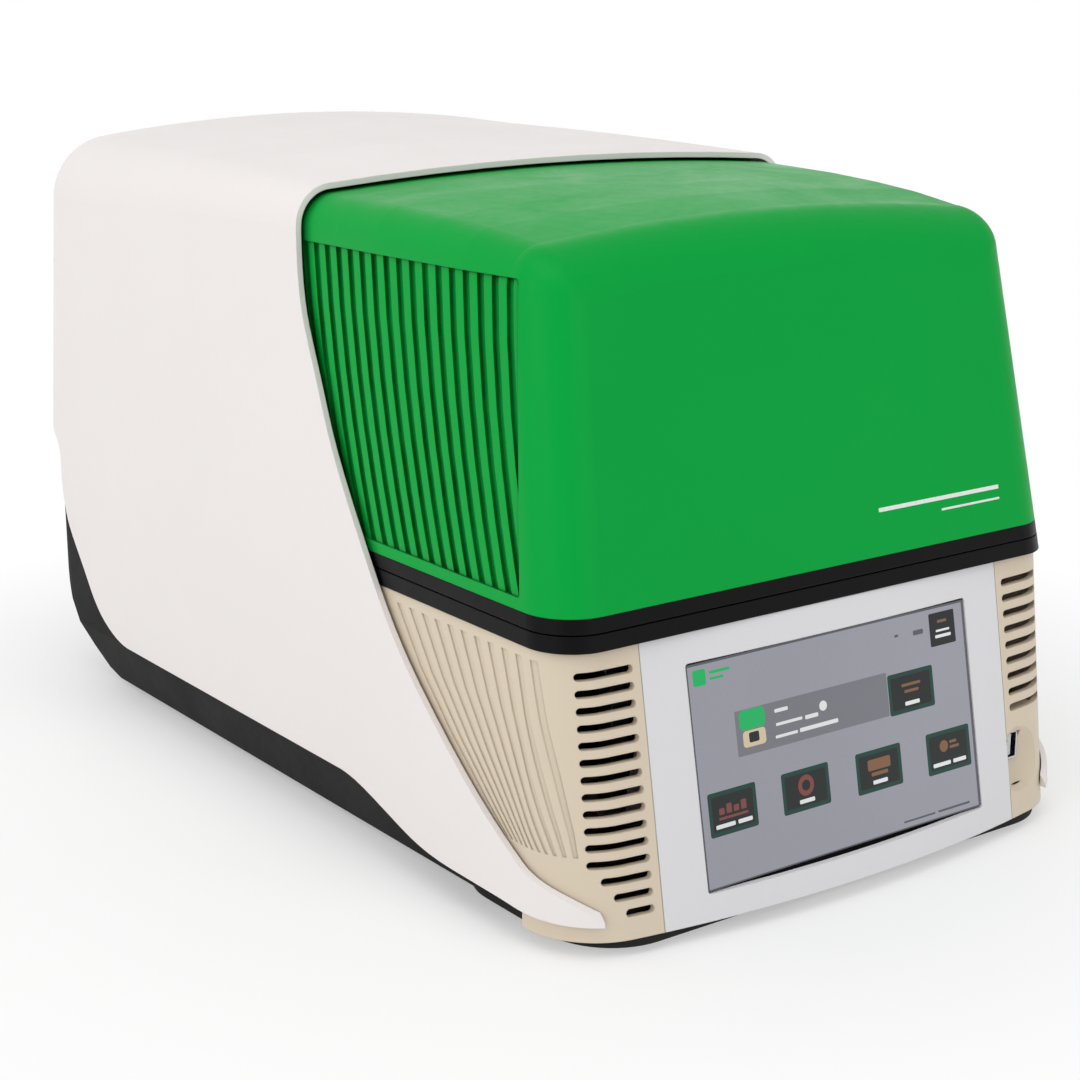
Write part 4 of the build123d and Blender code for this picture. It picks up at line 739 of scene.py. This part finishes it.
def round_rod(bm, path, wire):
    """Closed round rod along a path of points in metres."""
    sections = []
    up = None
    for i, point in enumerate(path):
        along = (path[min(i + 1, len(path) - 1)] - path[max(i - 1, 0)]).normalized()
        if up is None:
            up = along.orthogonal().normalized()
        up = (up - along * up.dot(along)).normalized()
        side = along.cross(up)
        angles = [2 * math.pi * j / SPOKE_SIDES for j in range(SPOKE_SIDES)]
        sections.append([
            bm.verts.new(point + (up * math.cos(a) + side * math.sin(a)) * (wire * MM))
            for a in angles])
    for section, following in zip(sections, sections[1:]):
        join_rings(bm, section, following)
    bm.faces.new(sections[0][::-1])
    bm.faces.new(sections[-1])


def fan_guard(bm, x):
    """Concentric rings held by four diagonal spokes, each ending at an eye."""
    for radius in RING_RADII:
        wire_ring(bm, back_point(x, FAN_Z, RING_DEPTH), radius, RING_WIRE)
    for degrees in (45, 135, 225, 315):
        angle = math.radians(degrees)
        outward = RIGHT * math.cos(angle) + BACK_UP * math.sin(angle)
        start = back_point(x, FAN_Z, SPOKE_DEPTH)
        eye = back_point(x, FAN_Z, EYE_DEPTH) + outward * (EYE_REACH * MM)
        path = [start + outward * (station * MM) for station in SPOKE_STATIONS]
        path.append(eye - outward * (SPOKE_END_GAP * MM))
        round_rod(bm, path, SPOKE_WIRE)
        wire_ring(bm, eye, EYE_RADIUS, EYE_WIRE, around=32, sides=8)


guard_mesh = bmesh.new()
for fan_side in (-1, 1):
    fan_guard(guard_mesh, fan_side * FAN_X)
guards = mesh_object("fan_guard_wires", guard_mesh, MATERIALS["steel_bright"], smooth=True)
fit(guards, "machine")
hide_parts("fan_guards")


# ---------------------------------------------------------------------------
# Camera, world, lights and floor, in metres
# ---------------------------------------------------------------------------
scene = bpy.context.scene
scene.view_settings.view_transform = "Standard"
scene.view_settings.look = "None"
scene.view_settings.exposure = 0.0
scene.view_settings.gamma = 1.0

CAMERA_PLACE = (-0.6942, -0.9736, 0.4360)
CAMERA_DOWN = 15.07  # degrees below level
CAMERA_TURN = -36.04  # degrees about Z, from looking along +Y

# name, place, target, width, height, power in watts
SOFTBOXES = [
    ("softbox_top", (-0.6, -0.5, 2.1), (0, 0, 0.15), 1.8, 1.4, 12.0),
    ("softbox_left", (-2.1, -0.5, 1.0), (0, -0.05, 0.15), 1.6, 1.4, 9.0),
    ("softbox_front", (0.4, -2.3, 0.9), (0, 0, 0.15), 1.4, 1.2, 5.0),
]

FLOOR_HALF_WIDTH = 8.0
FLOOR_FRONT_Y = -8.0
CURVE_START_Y = 4.0
CURVE_RADIUS = 2.0
CURVE_STEPS = 12
WALL_TOP_Z = 7.0


def add_camera():
    data = bpy.data.cameras.new("camera")
    camera = bpy.data.objects.new("camera", data)
    scene.collection.objects.link(camera)
    camera.location = CAMERA_PLACE
    camera.rotation_euler = (math.radians(90.0 - CAMERA_DOWN), 0.0, math.radians(CAMERA_TURN))
    data.lens = 73.07
    data.sensor_width = 36.0
    data.clip_start = 0.02
    data.clip_end = 60.0
    scene.camera = camera


def add_world():
    """A soft upward gradient lights the scene; the camera sees plain near-white."""
    world = bpy.data.worlds.new("studio")
    world.use_nodes = True
    g = Graph(world.node_tree)
    output = g.add("OutputWorld")
    height = g.add("SeparateXYZ", g.add("TexCoord").outputs["Generated"])
    ramp = g.add("ValToRGB", height.outputs["Z"])
    stops = ((0.0, (0.92, 0.92, 0.93, 1)), (1.0, (1.0, 1.0, 1.0, 1)))
    for element, (position, colour) in zip(ramp.color_ramp.elements, stops):
        element.position = position
        element.color = colour
    light = g.add("Background", Color=ramp.outputs[0], Strength=0.62)
    backdrop = g.add("Background", Color=(1.0, 1.0, 1.0, 1), Strength=0.98)
    camera_ray = g.add("LightPath").outputs["Is Camera Ray"]
    blend = g.add("MixShader", camera_ray, light.outputs[0], backdrop.outputs[0])
    g.put(output.inputs[0], blend.outputs[0])
    scene.world = world


def add_softbox(name, place, target, width, height, power):
    data = bpy.data.lights.new(name, "AREA")
    data.shape = "RECTANGLE"
    data.size = width
    data.size_y = height
    data.energy = power
    light = bpy.data.objects.new(name, data)
    scene.collection.objects.link(light)
    light.location = place
    aim = Vector(target) - Vector(place)
    light.rotation_euler = aim.to_track_quat("-Z", "Y").to_euler()


def add_floor():
    """Flat floor that curves up into a wall behind the instrument."""
    profile = [(FLOOR_FRONT_Y, 0.0), (CURVE_START_Y, 0.0)]
    for i in range(1, CURVE_STEPS + 1):
        angle = math.pi / 2 * i / CURVE_STEPS
        profile.append((CURVE_START_Y + CURVE_RADIUS * math.sin(angle),
                        CURVE_RADIUS - CURVE_RADIUS * math.cos(angle)))
    profile.append((CURVE_START_Y + CURVE_RADIUS, WALL_TOP_Z))

    bm = bmesh.new()
    rows = [[bm.verts.new((x, y, z)) for x in (-FLOOR_HALF_WIDTH, FLOOR_HALF_WIDTH)]
            for y, z in profile]
    for (left, right), (next_left, next_right) in zip(rows, rows[1:]):
        bm.faces.new((left, right, next_right, next_left))
    mesh_object("floor_sweep", bm, floor_paper(), smooth=True)


add_camera()
add_world()
for softbox in SOFTBOXES:
    add_softbox(*softbox)
add_floor()
